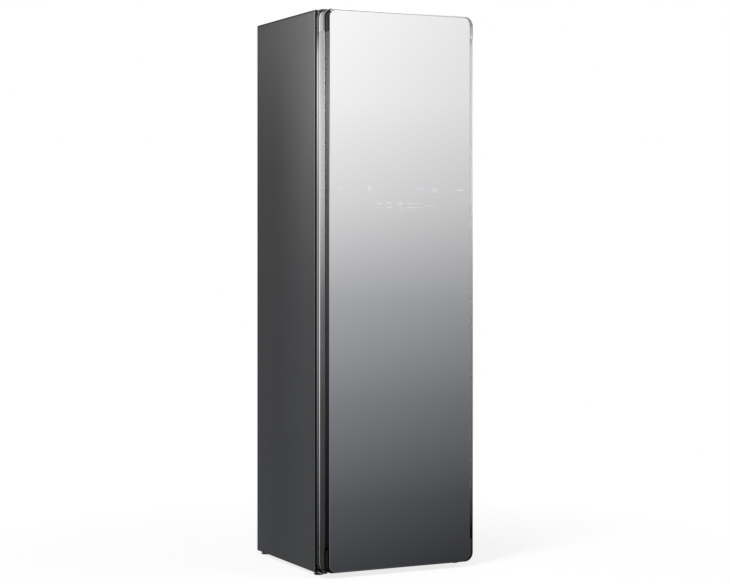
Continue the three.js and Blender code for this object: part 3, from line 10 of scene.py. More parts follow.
import bmesh
import bpy
import numpy as np
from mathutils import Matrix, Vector


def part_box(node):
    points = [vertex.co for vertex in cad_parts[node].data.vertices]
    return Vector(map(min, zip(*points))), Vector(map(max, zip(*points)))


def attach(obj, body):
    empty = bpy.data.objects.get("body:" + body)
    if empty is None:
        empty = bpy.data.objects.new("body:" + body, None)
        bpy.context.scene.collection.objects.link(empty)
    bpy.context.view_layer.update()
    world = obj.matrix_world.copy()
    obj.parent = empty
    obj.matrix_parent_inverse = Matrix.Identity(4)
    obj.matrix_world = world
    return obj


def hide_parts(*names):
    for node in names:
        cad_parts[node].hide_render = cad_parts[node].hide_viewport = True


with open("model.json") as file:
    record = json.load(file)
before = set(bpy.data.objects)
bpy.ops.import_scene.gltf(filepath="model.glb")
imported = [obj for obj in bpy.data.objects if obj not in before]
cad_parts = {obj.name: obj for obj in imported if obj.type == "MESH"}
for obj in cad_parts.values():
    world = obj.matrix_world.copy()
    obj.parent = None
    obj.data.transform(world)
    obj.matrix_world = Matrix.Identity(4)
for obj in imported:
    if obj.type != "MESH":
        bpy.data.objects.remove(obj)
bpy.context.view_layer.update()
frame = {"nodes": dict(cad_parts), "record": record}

MM = 0.001


# Shape helpers


def box_mm(node):
    """Lowest and highest corner of a CAD node, in millimetres."""
    low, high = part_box(node)
    return np.array(low) / MM, np.array(high) / MM


def arc(centre, radius, start, end, steps):
    """Points centre + radius (cos t, sin t), with t from start to end in degrees."""
    t = np.radians(np.linspace(start, end, steps + 1))
    return np.stack([centre[0] + radius * np.cos(t), centre[1] + radius * np.sin(t)], axis=1)


def curve(start, control, end):
    """Quadratic curve (1-t)^2 start + 2t(1-t) control + t^2 end."""
    t = np.linspace(0, 1, 9)[:, None]
    start, control, end = (np.array(p, float) for p in (start, control, end))
    return (1 - t) ** 2 * start + 2 * t * (1 - t) * control + t**2 * end


def arch(half, top, leg, radius, steps, way=1):
    """Line up one side, over the top and down the other: x = +-half, with round corners.

    Its legs end at the level leg, under the top where way is 1 and over it where way is -1.
    """
    level = top - way * radius
    left = arc((-half + radius, level), radius, 180, 180 - way * 90, steps)
    right = arc((half - radius, level), radius, way * 90, 0, steps)
    return np.vstack([[(-half, leg)], left, right, [(half, leg)]])


def rounded(low, high, radius, steps=8):
    """Outline of a rectangle with round corners, as a function of its inset.

    Corner k is centre_k + r (cos t, sin t), where r = radius - inset and each centre lies
    inset + r inside both sides.
    """

    def outline(inset=0.0):
        r = max(radius - inset, 0.05)
        x0, y0 = low[0] + inset + r, low[1] + inset + r
        x1, y1 = high[0] - inset - r, high[1] - inset - r
        corners = ((x1, y1, 0), (x0, y1, 90), (x0, y0, 180), (x1, y0, 270))
        return np.vstack([arc((x, y), r, a, a + 90, steps) for x, y, a in corners])

    return outline


def ring(points, level, axis=2):
    """Flat points put at a level on the given axis, in the order of the two other axes."""
    return np.insert(np.asarray(points, float), axis, level, axis=1)


def softened(low, high, edge, steps=4):
    """Insets and levels of a slab with quarter-round rims.

    inset = e (1 - sin t) and level = low + e (1 - cos t), and the same from high downwards.
    """
    t = np.radians(np.linspace(0, 90, steps + 1))
    inset, rise = edge * (1 - np.sin(t)), edge * (1 - np.cos(t))
    return [*zip(inset, low + rise), *zip(inset[::-1], high - rise[::-1])]


def loft(rings, ends="caps", closed=True):
    """Quads between rings p[i][j].

    ends is caps for a closed end at both sides, wrap where the last ring meets the first,
    and open for neither. With closed off, each ring is an open line, and wrap also closes
    the two flat ends that the lines leave.
    """
    rings = np.asarray(rings, float)
    m, n = rings.shape[:2]
    index = np.arange(m * n).reshape(m, n)
    along = np.vstack([index, index[:1]]) if ends == "wrap" else index
    across = np.hstack([along, along[:, :1]]) if closed else along
    quads = np.stack([across[:-1, :-1], across[:-1, 1:], across[1:, 1:], across[1:, :-1]], axis=-1)
    faces = quads.reshape(-1, 4).tolist()
    if ends == "caps":
        faces += [index[0][::-1].tolist(), index[-1].tolist()]
    elif ends == "wrap" and not closed:
        faces += [index[:, 0].tolist(), index[::-1, -1].tolist()]
    return rings.reshape(-1, 3), faces


def stacked(outline, levels, axis=2, ends="caps"):
    """An outline carried along the axis through (inset, level) pairs."""
    return loft([ring(outline(inset), level, axis) for inset, level in levels], ends)


def slab(low, high, corner, edge, axis=2, steps=4):
    """Block between two corners, with round corners across the axis and soft rims along it."""
    across = [k for k in range(3) if k != axis]
    outline = rounded([low[k] for k in across], [high[k] for k in across], corner, steps + 2)
    return stacked(outline, softened(low[axis], high[axis], edge, steps), axis)


def frame_ring(outline, width, low, high, edge):
    """Flat ring: outline out to its width, with soft outer and inner rims."""
    outer = softened(low, high, edge)
    inner = [(width - inset, level) for inset, level in outer[::-1]]
    return stacked(outline, outer + inner, 2, "wrap")


def lathe(profile, centre, axis=2, segments=48, ends="caps"):
    """Turned body: a point (r, h) of the profile becomes centre + r (cos t, sin t), h along."""
    t = np.linspace(0, 2 * np.pi, segments, endpoint=False)
    circle = np.stack([np.cos(t), np.sin(t)], axis=1)
    flat = np.delete(np.asarray(centre, float), axis)
    rings = [ring(flat + max(r, 0.05) * circle, centre[axis] + h, axis) for r, h in profile]
    return loft(rings, ends)


def sweep(path, normal, wide, thick, sides=16, power=1.0, ends="caps"):
    """Tube along a flat path, which closes on itself where its ends are wrap.

    Its section is wide/2 c along the in-plane normal and thick/2 s along the plane's own
    normal, where (c, s) = sign(cos t)|cos t|^power, sign(sin t)|sin t|^power.
    """
    path, normal = np.asarray(path, float), np.asarray(normal, float)
    around = ends == "wrap"
    along = np.roll(path, -1, 0) - np.roll(path, 1, 0) if around else np.gradient(path, axis=0)
    along /= np.linalg.norm(along, axis=1, keepdims=True)
    side = np.cross(along, normal)
    t = np.linspace(0, 2 * np.pi, sides, endpoint=False)
    c, s = (np.sign(f) * np.abs(f) ** power for f in (np.cos(t), np.sin(t)))
    half = np.broadcast_to(np.asarray(wide, float), len(path))[:, None, None] / 2
    rings = path[:, None] + half * c[None, :, None] * side[:, None]
    return loft(rings + thick / 2 * s[None, :, None] * normal, ends)


def prism(section, low, high, axis=2):
    """A flat section carried straight from low to high."""
    return loft([ring(section, low, axis), ring(section, high, axis)])


def merged(parts):
    """Several parts as one list of points and faces."""
    faces, start = [], 0
    for points, own in parts:
        faces += [[v + start for v in face] for face in own]
        start += len(points)
    return np.vstack([points for points, _ in parts]), faces


def outward(mesh):
    """Turns the faces of closed bodies to face out."""
    work = bmesh.new()
    work.from_mesh(mesh)
    bmesh.ops.recalc_face_normals(work, faces=work.faces)
    work.to_mesh(mesh)
    work.free()


def combined(part, tools, operation="DIFFERENCE"):
    """The part with closed tools taken away from it, or joined to it, by an exact boolean."""
    bodies = []
    for points, faces in (part, *tools):
        mesh = bpy.data.meshes.new("boolean")
        mesh.from_pydata(points, [], faces)
        outward(mesh)
        bodies.append(bpy.data.objects.new("boolean", mesh))
        bpy.context.scene.collection.objects.link(bodies[-1])
    for tool in bodies[1:]:
        step = bodies[0].modifiers.new("step", "BOOLEAN")
        step.operation, step.solver, step.object = operation, "EXACT", tool
    result = bodies[0].evaluated_get(bpy.context.evaluated_depsgraph_get()).to_mesh()
    points = np.empty(len(result.vertices) * 3, np.float32)
    result.vertices.foreach_get("co", points)
    faces = [list(face.vertices) for face in result.polygons]
    for body in bodies:
        bpy.data.meshes.remove(body.data)
    return points.reshape(-1, 3).astype(float), faces


def piece(name, parts, body, slot, node=None, angle=32, look=None):
    """One object from closed parts in millimetres, shaded smooth up to an edge angle.

    It has the finish of its slot, unless another look is given, and may replace a CAD node.
    """
    points, faces = merged(parts)
    mesh = bpy.data.meshes.new(name)
    mesh.from_pydata(points * MM, [], faces)
    outward(mesh)
    mesh.shade_smooth()
    mesh.set_sharp_from_angle(angle=math.radians(angle))
    made = bpy.data.objects.new(name, mesh)
    bpy.context.scene.collection.objects.link(made)
    mesh.materials.append(look or SLOT_FINISH[slot])
    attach(made, body)
    if node:
        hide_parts(node)
    return made


# Material helpers

# Settings of the nodes that blend and multiply two colours.
COLOUR = {"out": 2, "data_type": "RGBA"}
TIMES = {"blend_type": "MULTIPLY", **COLOUR}


def linear(code):
    """Linear colour of an sRGB code: ((c + 0.055) / 1.055)^2.4, or c / 12.92 where c is dark."""
    c = np.array([int(code[k : k + 2], 16) for k in (1, 3, 5)]) / 255
    value = np.where(c > 0.04045, ((c + 0.055) / 1.055) ** 2.4, c / 12.92)
    return (*value.tolist(), 1.0)


def add(tree, kind, inputs=(), out=0, stops=(), **settings):
    """One shader node with its settings and links, and the output that is asked for.

    An input takes a value, an sRGB code or the output that feeds it. stops are the (place,
    sRGB code) marks of a colour ramp. With out as None all outputs come back.
    """
    node = tree.nodes.new("ShaderNode" + kind)
    for key, value in settings.items():
        setattr(node, key, value)
    for key, value in inputs.items() if isinstance(inputs, dict) else enumerate(inputs):
        if isinstance(value, bpy.types.NodeSocket):
            tree.links.new(value, node.inputs[key])
        else:
            coded = isinstance(value, str)
            node.inputs[key].default_value = linear(value) if coded else value
    if stops:
        marks = node.color_ramp.elements
        marks[0].position, marks[1].position = stops[0][0], stops[-1][0]
        for place, _ in stops[1:-1]:
            marks.new(place)
        for mark, (_, code) in zip(marks, stops):
            mark.color = linear(code)
    return node.outputs if out is None else node.outputs[out]


def finish(name, **sockets):
    """A material with one Principled shader, and its node tree, shader and coordinates."""
    made = bpy.data.materials.new(name)
    made.use_nodes = True
    tree = made.node_tree
    shader = tree.nodes["Principled BSDF"]
    for key, value in sockets.items():
        shader.inputs[key.replace("_", " ")].default_value = value
    return made, tree, shader, add(tree, "TexCoord", out="Object")


def feed(tree, shader, **sockets):
    """Links outputs into the shader's sockets."""
    for key, value in sockets.items():
        tree.links.new(value, shader.inputs[key.replace("_", " ")])


def grain(tree, place, x, y, z, detail=2.0):
    """Noise from 0 to 1, one cycle of which is the given length in millimetres on each axis."""
    scale = (1 / (x * MM), 1 / (y * MM), 1 / (z * MM))
    stretched = add(tree, "Mapping", {"Vector": place, "Scale": scale})
    return add(tree, "TexNoise", {"Vector": stretched, "Scale": 1.0, "Detail": detail})


def crystals(tree, place, size, out):
    """Cells of the given size in millimetres, as their colour or the distance from their middle."""
    stretched = add(tree, "Mapping", {"Vector": place, "Scale": (1 / (size * MM),) * 3})
    return add(tree, "TexVoronoi", {"Vector": stretched, "Scale": 1.0}, out)


def by_height(tree, place, stops):
    """Tones over the height of the cabinet, through (height in millimetres, sRGB code) stops."""
    z = add(tree, "SeparateXYZ", (place,), "Z")
    share = add(tree, "MapRange", (z, 0.0, HEIGHT * MM))
    return add(tree, "ValToRGB", (share,), stops=[(mm / HEIGHT, code) for mm, code in stops])


def changing(tree, along, low, high, first, second):
    """Tone that goes from the first to the second while a coordinate runs from low to high."""
    share = add(tree, "MapRange", (along, low, high))
    return add(tree, "Mix", {0: share, 6: first, 7: second}, **COLOUR)


def shaded(tree, tone, along, low, high, stops):
    """Tone multiplied by those that a coordinate meets while it runs from low to high."""
    share = add(tree, "MapRange", (along, low, high))
    shades = add(tree, "ValToRGB", (share,), stops=stops)
    return add(tree, "Mix", {0: 1.0, 6: tone, 7: shades}, **TIMES)


def textured(tree, shader, pattern, gloss=None, depth=0.0, strength=1.0):
    """Lets a pattern vary the shader's gloss and stand out on it.

    gloss is the roughness where the pattern is 0.3 and where it is 0.7, and depth the height
    of its bumps in millimetres.
    """
    if gloss:
        feed(tree, shader, Roughness=add(tree, "MapRange", (pattern, 0.3, 0.7, *gloss)))
    if depth:
        bump = {"Height": pattern, "Distance": depth * MM, "Strength": strength}
        feed(tree, shader, Normal=add(tree, "Bump", bump))


def patterned(tree, shader, pattern, tones, depth=0.0, strength=1.0):
    """Colours the shader between two tones by a pattern, which may stand out by a real depth."""
    inputs = {0: pattern, 6: tones[0], 7: tones[1]}
    feed(tree, shader, Base_Color=add(tree, "Mix", inputs, **COLOUR))
    textured(tree, shader, pattern, None, depth, strength)


def mottled(name, patch, tones, fine=None, gloss=None, depth=0.0, **sockets):
    """A finish whose tone wanders between two colours, and whose gloss and relief are finer.

    patch and fine are grain sizes (x, y, z in millimetres, detail). Without a fine grain the
    patches also give the gloss and the relief.
    """
    made, tree, shader, place = finish(name, **sockets)
    pattern = grain(tree, place, *patch)
    patterned(tree, shader, pattern, tones)
    textured(tree, shader, grain(tree, place, *fine) if fine else pattern, gloss, depth)
    return made


# Materials

# The cabinet's height in millimetres, and the span in metres over which the mirror's painted
# reflection goes from its left tone to its right one.
HEIGHT = 1960.0
PANE = (-0.255, 0.245)
WHITE = "#ffffff"

# Tones over the height, as (height in millimetres, sRGB code), each with light or shade painted
# in: the coat of the sheet at its rear (painted shade) and front (painted light), the mirror's
# painted reflection at the left, its share of painted shade at the right, the ground glass side
# in painted shade, and the faces of the door edge in painted reflection, highlight and shade.
COAT_REAR_PAINTED_SHADE = (
    (0, "#2e3033"), (1000, "#28282a"), (1400, "#252525"), (1650, "#2b2b2b"), (1900, "#343434"),
)
COAT_FRONT_PAINTED_LIGHT = (
    (0, "#3b3c3f"), (600, "#37383a"), (1000, "#333335"), (1450, "#353535"), (1900, "#353535"),
)
SILVER_PAINTED_REFLECTION = (
    (0, "#3b3c40"), (250, "#535458"), (600, "#7b7c80"), (950, "#a3a4a7"), (1300, "#d5d5d6"),
    (1650, "#efefef"), (1960, "#f7f7f7"),
)
SILVER_RIGHT_PAINTED_SHADE = ((0, "#d9d9d9"), (1000, "#ececec"), (1960, "#efefef"))
GLASS_EDGE_PAINTED_SHADE = (
    (0, "#18191b"), (790, "#5a5b5d"), (1300, "#6c6d6f"), (1650, "#6a6b6c"), (1900, "#38393a"),
)
STRIP_PAINTED_REFLECTION = (
    (0, "#252526"), (600, "#4a4a4b"), (950, "#787779"), (1350, "#d7d3d4"), (1600, "#e2e1e2"),
    (1960, "#bbbbbc"),
)
BEAD_PAINTED_HIGHLIGHT = (
    (0, "#666767"), (180, "#9a9b9d"), (440, "#d0d1d3"), (800, "#fcfcfd"), (1780, "#ffffff"),
    (1960, "#cccccc"),
)
REAR_STRIP_PAINTED_REFLECTION = (
    (0, "#191a1a"), (270, "#4a4b4d"), (790, "#868688"), (1300, "#a6a6a6"), (1650, "#e6e6e6"),
    (1800, "#dadada"), (1880, "#6c6c6c"),
)
GROOVE_LEFT_PAINTED_SHADE = (
    (95, "#060608"), (110, "#3c3c3e"), (610, "#6a6a6c"), (1650, "#8b8b8c"), (1960, "#5e5e5f"),
)
GROOVE_RIGHT_PAINTED_REFLECTION = (
    (0, "#181818"), (130, "#3c3c3c"), (300, "#a8a8a8"), (700, "#cecece"), (1300, "#ffffff"),
    (1850, "#fcfcfc"), (1960, "#a4a4a4"),
)


def moulded(name, code, rough, wander=0.06):
    """Moulded plastic: a 0.6 mm spark-eroded grain gives it a soft and slightly uneven gloss."""
    base = linear(code)[:3]
    tones = [(*(min(c * share, 1.0) for c in base), 1.0) for share in (1 - wander, 1 + wander)]
    gloss = (rough - 0.05, rough + 0.05)
    return mottled(
        name, (90, 90, 90, 2), tones, (0.6, 0.6, 0.6, 2), gloss, 0.03, Roughness=rough
    )


def coated_steel():
    """Graphite powder-coated sheet: a fine orange peel gives it a satin gloss.

    The coat is painted lighter towards the front and the foot, as painted light. It has painted
    shade along its folded top and rear rims, a painted highlight on its front bend, and a painted
    shadow in the gap behind the door.
    """
    made, tree, shader, place = finish("graphite coated steel", Specular_IOR_Level=0.04)
    x, y, z = add(tree, "SeparateXYZ", (place,), None)
    wide = add(tree, "Math", (x,), operation="ABSOLUTE")
    rear, front = (by_height(tree, place, stops) for stops in (COAT_REAR_PAINTED_SHADE, COAT_FRONT_PAINTED_LIGHT))
    # Painted light and shade: the coat darkens from the front to the rear and changes over the
    # height.
    sheet = changing(tree, y, 0.12, -0.15, rear, front)
    patch = grain(tree, place, 240, 240, 400)
    clouds = {0: patch, 6: (0.94, 0.94, 0.94, 1.0), 7: (1.06, 1.06, 1.06, 1.0)}
    cloud = add(tree, "Mix", clouds, **COLOUR)
    shade = add(tree, "Mix", {0: 1.0, 6: sheet, 7: cloud}, **TIMES)
    # Painted shade on the top and rear rims, a painted highlight on the front bend, and a painted
    # shadow on the flange in the gap behind the door.
    top_rim_shade, rear_rim = (1.9535, 1.9560), (0.2945, 0.2965)
    front_bend_highlight, door_gap_shadow = (-0.2100, -0.2125), (-0.2150, -0.2165)
    rim = changing(tree, wide, 0.2905, 0.2912, shade, "#18191a")
    shade = changing(tree, z, *top_rim_shade, shade, rim)
    shade = changing(tree, y, *rear_rim, shade, "#1e1f20")
    shade = changing(tree, y, *front_bend_highlight, shade, "#4c4d4e")
    gap = changing(tree, wide, 0.2855, 0.2880, shade, "#080809")
    shade = changing(tree, y, *door_gap_shadow, shade, gap)
    feed(tree, shader, Base_Color=shade)
    textured(tree, shader, grain(tree, place, 1.6, 1.6, 1.6, 3), (0.38, 0.48), 0.02)
    return made


def zinc_sheet():
    """Galvanised sheet: crystal spangle of about 9 mm, each grain with its own grey and gloss."""
    made, tree, shader, place = finish("galvanised sheet", Metallic=0.85, Roughness=0.42)
    grey = add(tree, "SeparateColor", (crystals(tree, place, 9, "Color"),), "Red")
    patterned(tree, shader, grey, ("#8d9092", "#a9acae"))
    feed(tree, shader, Roughness=add(tree, "MapRange", (grey, 0.0, 1.0, 0.34, 0.5)))
    return made


def painted_reflection_tones(tree, place):
    """Mirror's painted reflection at its left and right edge, and the coordinate between them."""
    left = by_height(tree, place, SILVER_PAINTED_REFLECTION)
    shade = by_height(tree, place, SILVER_RIGHT_PAINTED_SHADE)
    right = add(tree, "Mix", {0: 1.0, 6: left, 7: shade}, **TIMES)
    return left, right, add(tree, "SeparateXYZ", (place,), "X")


def mirror():
    """Silvered glass: its painted reflection darkens from pearl at the top to charcoal at the foot.
    """
    made, tree, shader, place = finish("silvered mirror glass", Metallic=1.0, Roughness=0.03)
    left, right, x = painted_reflection_tones(tree, place)
    feed(tree, shader, Base_Color=changing(tree, x, *PANE, left, right))
    textured(tree, shader, grain(tree, place, 160, 160, 260), (0.02, 0.05))
    return made


def polished_bevel():
    """Polished mirror-glass bevel with a painted reflection: a dark line at the right and top left.
    """
    made, tree, shader, place = finish("polished glass bevel", Metallic=1.0, Roughness=0.08)
    left, right, x = painted_reflection_tones(tree, place)
    z = add(tree, "SeparateXYZ", (place,), "Z")
    stops = ((0, "#ffffff"), (0.35, "#c8c8c8"), (0.62, "#6a6a6a"), (1, "#505050"))
    # Painted reflection: light low on the left and darkening towards the top, dark along the right.
    bright = add(tree, "Mix", {0: 0.08, 6: left, 7: WHITE}, **COLOUR)
    bright = shaded(tree, bright, z, 1.20, 1.90, stops)
    right_bevel_shade = add(tree, "Mix", {0: 0.2, 6: right, 7: "#000000"}, **COLOUR)
    feed(tree, shader, Base_Color=changing(tree, x, *PANE, bright, right_bevel_shade))
    textured(tree, shader, grain(tree, place, 40, 40, 40), (0.06, 0.14))
    return made


def ground_side():
    """Ground side of the mirror glass, matt, with painted shade as dark as the groove beside it."""
    made, tree, shader, place = finish("ground glass side", Roughness=0.5, Specular_IOR_Level=0.3)
    feed(tree, shader, Base_Color=by_height(tree, place, GLASS_EDGE_PAINTED_SHADE))
    textured(tree, shader, grain(tree, place, 0.5, 0.5, 0.5), depth=0.02)
    return made


def level_run(tree, x, y, z, inset):
    """Share and tone of a cap's level run, up to 8 mm inset and in front of y = -266 mm.

    It fades out where |x| goes from 268 to 276 mm, 10 mm sooner on the top cap, which is
    pale there with painted light and dulls to the right with painted shade. The bottom cap is
    dark with painted shade.
    """
    upper = add(tree, "MapRange", (z, 0.5, 1.5))
    wide = add(tree, "Math", (x,), operation="ABSOLUTE")
    wide = add(tree, "Math", (upper, 0.010, wide), operation="MULTIPLY_ADD")
    level = add(tree, "MapRange", (wide, 0.276, 0.268))
    for limits in ((inset, 9.0, 8.0), (y, -0.2640, -0.2660)):
        share = add(tree, "MapRange", limits)
        level = add(tree, "Math", (level, share), operation="MULTIPLY")
    # Painted light, pale on the top cap and dulled to the right, and painted shade on the bottom
    # cap.
    right_shade_stops = ((0, "#ffffff"), (0.5, "#fafafa"), (0.8, "#dcdcdc"), (1, "#b0b0b0"))
    pale = add(tree, "ValToRGB", (add(tree, "MapRange", (x, -0.264, 0.264)),), stops=right_shade_stops)
    return level, add(tree, "Mix", {0: upper, 6: "#303134", 7: pale}, **COLOUR)


def satin_rail(name, rough, metal, cap):
    """Door edge finish in painted reflection: the flat strip, the bead with its painted highlight
    and the rear strip each darken downwards.

    The grooves that face the glass are in painted shade, darker at the left than at the right.
    The aluminium is brushed along the door's height, and the coated caps round off darker at
    their front with painted shade.
    """
    made, tree, shader, place = finish(name, Roughness=rough, Specular_Tint=(0.5, 0.5, 0.5, 1))
    x, y, z = add(tree, "SeparateXYZ", (place,), None)
    inset = add(tree, "Attribute", out="Fac", attribute_name="inset")
    strip_end, bead_end = (-0.2562, -0.2552), (-0.2508, -0.2500)
    groove, glass = (1.8, 2.8), (17.6, 18.0)
    faces = (STRIP_PAINTED_REFLECTION, BEAD_PAINTED_HIGHLIGHT, REAR_STRIP_PAINTED_REFLECTION, GROOVE_LEFT_PAINTED_SHADE, GROOVE_RIGHT_PAINTED_REFLECTION)
    strip, bead, rear, left, right = (by_height(tree, place, stops) for stops in faces)
    # Painted shade on the front part of the rear strip.
    rear = shaded(tree, rear, y, -0.250, -0.238, ((0, "#a0a0a0"), (1, "#ffffff")))
    if cap:
        # Painted shade: the caps' left grooves darker, and their strip darker where it rounds off
        # in front.
        left = add(tree, "Mix", {0: 0.955, 6: left, 7: "#08080a"}, **COLOUR)
        round_off_shade = ((0, "#808080"), (0.5, "#c8c8c8"), (1, "#e6e6e6"))
        strip = shaded(tree, strip, y, -0.292, -0.277, round_off_shade)
    # Painted shade darkening the left groove on its wall next to the glass.
    deep_groove_shade = ((0, "#ffffff"), (0.5, "#b8b8b8"), (0.63, "#9a9a9a"), (0.89, "#787878"), (1, "#787878"))
    left = shaded(tree, left, inset, 15.4, 17.3, deep_groove_shade)
    hollow = changing(tree, x, -0.01, 0.01, left, right)
    side = changing(tree, y, *strip_end, strip, bead)
    side = changing(tree, y, *bead_end, side, rear)
    # The lip by the glass takes the mirror's painted reflection.
    side = changing(tree, inset, *glass, side, by_height(tree, place, SILVER_PAINTED_REFLECTION))
    begun = add(tree, "MapRange", (inset, *groove))
    ended = add(tree, "MapRange", (inset, 17.32, glass[0], 1.0, 0.0))
    inner = add(tree, "Math", (begun, ended), operation="MULTIPLY")
    shade = add(tree, "Mix", {0: inner, 6: side, 7: hollow}, **COLOUR)
    if cap:
        level, tone = level_run(tree, x, y, z, inset)
        shade = add(tree, "Mix", {0: level, 6: shade, 7: tone}, **COLOUR)
        inner = add(tree, "Math", (inner, level), operation="SUBTRACT", use_clamp=True)
    metallic = add(tree, "MapRange", (inner, 0.0, 1.0, metal, 0.0))
    feed(tree, shader, Base_Color=shade, Metallic=metallic)
    lines = grain(tree, place, 0.35, 0.35, 0.5 if cap else 45, 3)
    textured(tree, shader, lines, (rough - 0.06, rough + 0.08), 0.004)
    return made


def printed_mark(name, tones):
    """Frosted print behind the glass, faintly violet where it is thin."""
    return mottled(name, (1.2, 1.2, 1.2, 2), tones, Metallic=1.0, Roughness=0.35)


def smoked_tank():
    """Smoke-grey polypropylene: light passes it, and a moulded grain keeps it dull."""
    return mottled(
        "smoked tank plastic", (60, 60, 60, 2), ("#8d9296", "#9da2a5"), (0.9, 0.9, 0.9, 2),
        depth=0.02, Roughness=0.28, Transmission_Weight=0.6, IOR=1.45,
    )


def open_cell_foam():
    """Insulating foam: matt, with the hollows of 2 mm cells."""
    made, tree, shader, place = finish("insulating foam", Roughness=0.95)
    cells = crystals(tree, place, 2, "Distance")
    patterned(tree, shader, cells, ("#b9b39f", "#dad5c3"), 0.6, 0.7)
    return made


def soft_rubber():
    """Moulded black rubber: dull, with a dusty bloom in patches."""
    base = linear("#121314")
    bloom = (*(c + 0.012 for c in base[:3]), 1.0)
    return mottled(
        "black rubber", (25, 25, 25, 4), (base, bloom), (0.8, 0.8, 0.8, 2), depth=0.02,
        Roughness=0.7, Specular_IOR_Level=0.3,
    )


def circuit_board():
    """Solder-masked board with tracks on a 2.5 mm grid under a green lacquer."""
    made, tree, shader, place = finish("solder-masked board", Roughness=0.35)
    upright = (math.radians(90), 0.0, 0.0)
    inputs = {
        "Vector": add(tree, "Mapping", {"Vector": place, "Rotation": upright}),
        "Color1": "#14502f", "Color2": "#1a5c38", "Mortar": "#2f7a4c",
        "Scale": 1.0, "Mortar Size": 0.2 * MM, "Brick Width": 10 * MM, "Row Height": 2.5 * MM,
    }
    tracks = add(tree, "TexBrick", inputs, None)
    feed(tree, shader, Base_Color=tracks["Color"])
    textured(tree, shader, tracks["Fac"], depth=0.04)
    return made


def pressing_felt():
    """Dense heat-proof felt: short fibres of about 3 mm give it a soft sheen."""
    made, tree, shader, place = finish("pressing felt", Roughness=0.9, Sheen_Weight=0.3)
    fibres = (grain(tree, place, 0.5, 0.5, 3.0, 5), grain(tree, place, 3.0, 0.5, 0.5, 5))
    both = add(tree, "Math", fibres, operation="MAXIMUM")
    patterned(tree, shader, both, ("#9da1a5", "#c6c9cb"), 0.25, 0.8)
    return made


def black_enamel():
    """Stoved black enamel, glossy with a faint peel."""
    return mottled(
        "black enamel", (3, 3, 3, 2), ("#141517", "#1b1c1e"), depth=0.05, Roughness=0.25,
        Coat_Weight=0.4,
    )


def drawn_copper():
    """Drawn copper tube, browned in patches by handling and heat."""
    return mottled(
        "drawn copper", (35, 35, 35, 4), ("#9c5c3c", "#c98662"), gloss=(0.38, 0.24),
        Metallic=1.0, Roughness=0.3,
    )


def finned_coil():
    """Aluminium fins every 2 mm on a tube coil, with painted shade between them."""
    made, tree, shader, place = finish("coil fins", Metallic=0.9, Roughness=0.4)
    inputs = {"Vector": place, "Scale": 1 / (2 * MM) / 20}
    fins = add(tree, "TexWave", inputs, "Fac", bands_direction="Y")
    # Painted shade in the gaps between the fins.
    patterned(tree, shader, fins, ("#4c4f52", "#c3c6c8"), 0.8)
    return made


def lit_lens():
    """Opal lamp lens with fine prisms along it."""
    return mottled(
        "opal lamp lens", (3, 80, 3, 0), ("#eef0ee", "#ffffff"), depth=0.3, Roughness=0.3,
        Transmission_Weight=0.25, Subsurface_Weight=0.2,
    )


def net_weave():
    """Polyester net of 0.8 mm mesh, light threads over openings in painted shade."""
    made, tree, shader, place = finish("filter net", Roughness=0.7)
    x, _, z = add(tree, "SeparateXYZ", (place,), None)
    turns = 2 * math.pi / (0.8 * MM)
    turned = [add(tree, "Math", (along, turns), operation="MULTIPLY") for along in (x, z)]
    waves = [add(tree, "Math", (turn,), operation="SINE") for turn in turned]
    thread = add(tree, "Math", waves, operation="MAXIMUM")
    # The openings are painted dark as shade.
    patterned(tree, shader, add(tree, "MapRange", (thread, 0.5, 0.8)), ("#2c2e30", "#9a9da0"))
    textured(tree, shader, thread, depth=0.15)
    return made


SLOT_FINISH = {
    "painted_steel": coated_steel(),
    "galvanised_sheet": zinc_sheet(),
    "mirror_glass": mirror(),
    "anodised_aluminium": satin_rail("anodised aluminium", 0.3, 1.0, False),
    "dark_plastic": moulded("dark moulded plastic", "#1c1e20", 0.45),
    "grey_plastic": moulded("mid grey moulded plastic", "#8b8e91", 0.42, 0.03),
    "pale_plastic": moulded("pale grey moulded plastic", "#d3d5d4", 0.4, 0.015),
    "tank_plastic": smoked_tank(),
    "foam": open_cell_foam(),
    "black_rubber": soft_rubber(),
    "circuit_board": circuit_board(),
    "press_felt": pressing_felt(),
    "black_paint": black_enamel(),
    "copper_tube": drawn_copper(),
    "coil_fins": finned_coil(),
    "lamp_diffuser": lit_lens(),
}
BEVEL = polished_bevel()
GLASS_SIDE = ground_side()
MARK = printed_mark("frosted touch mark", ("#d8d8dc", "#e4e4e8"))
HAZE = printed_mark("thin frosted mark", ("#cdcdd4", "#d9d9df"))
CAP = satin_rail("satin coated plastic", 0.36, 0.9, True)
NET = net_weave()


def mark_inset(made, insets):
    """Keeps each vertex's inset from the door's side, in millimetres, for the edge finish."""
    attribute = made.data.attributes.new("inset", "FLOAT", "POINT")
    attribute.data.foreach_set("value", np.asarray(insets, np.float32))


SLOTS = {entry["node"]: entry["material_slot"] for entry in frame["record"]["subparts"]}


def dress_frame():
    """Gives every CAD node the finish of its slot in the record."""
    for name, node in frame["nodes"].items():
        made = SLOT_FINISH[SLOTS[name]]
        if node.material_slots:
            for place in node.material_slots:
                place.material = made
        else:
            node.data.materials.append(made)


# Door


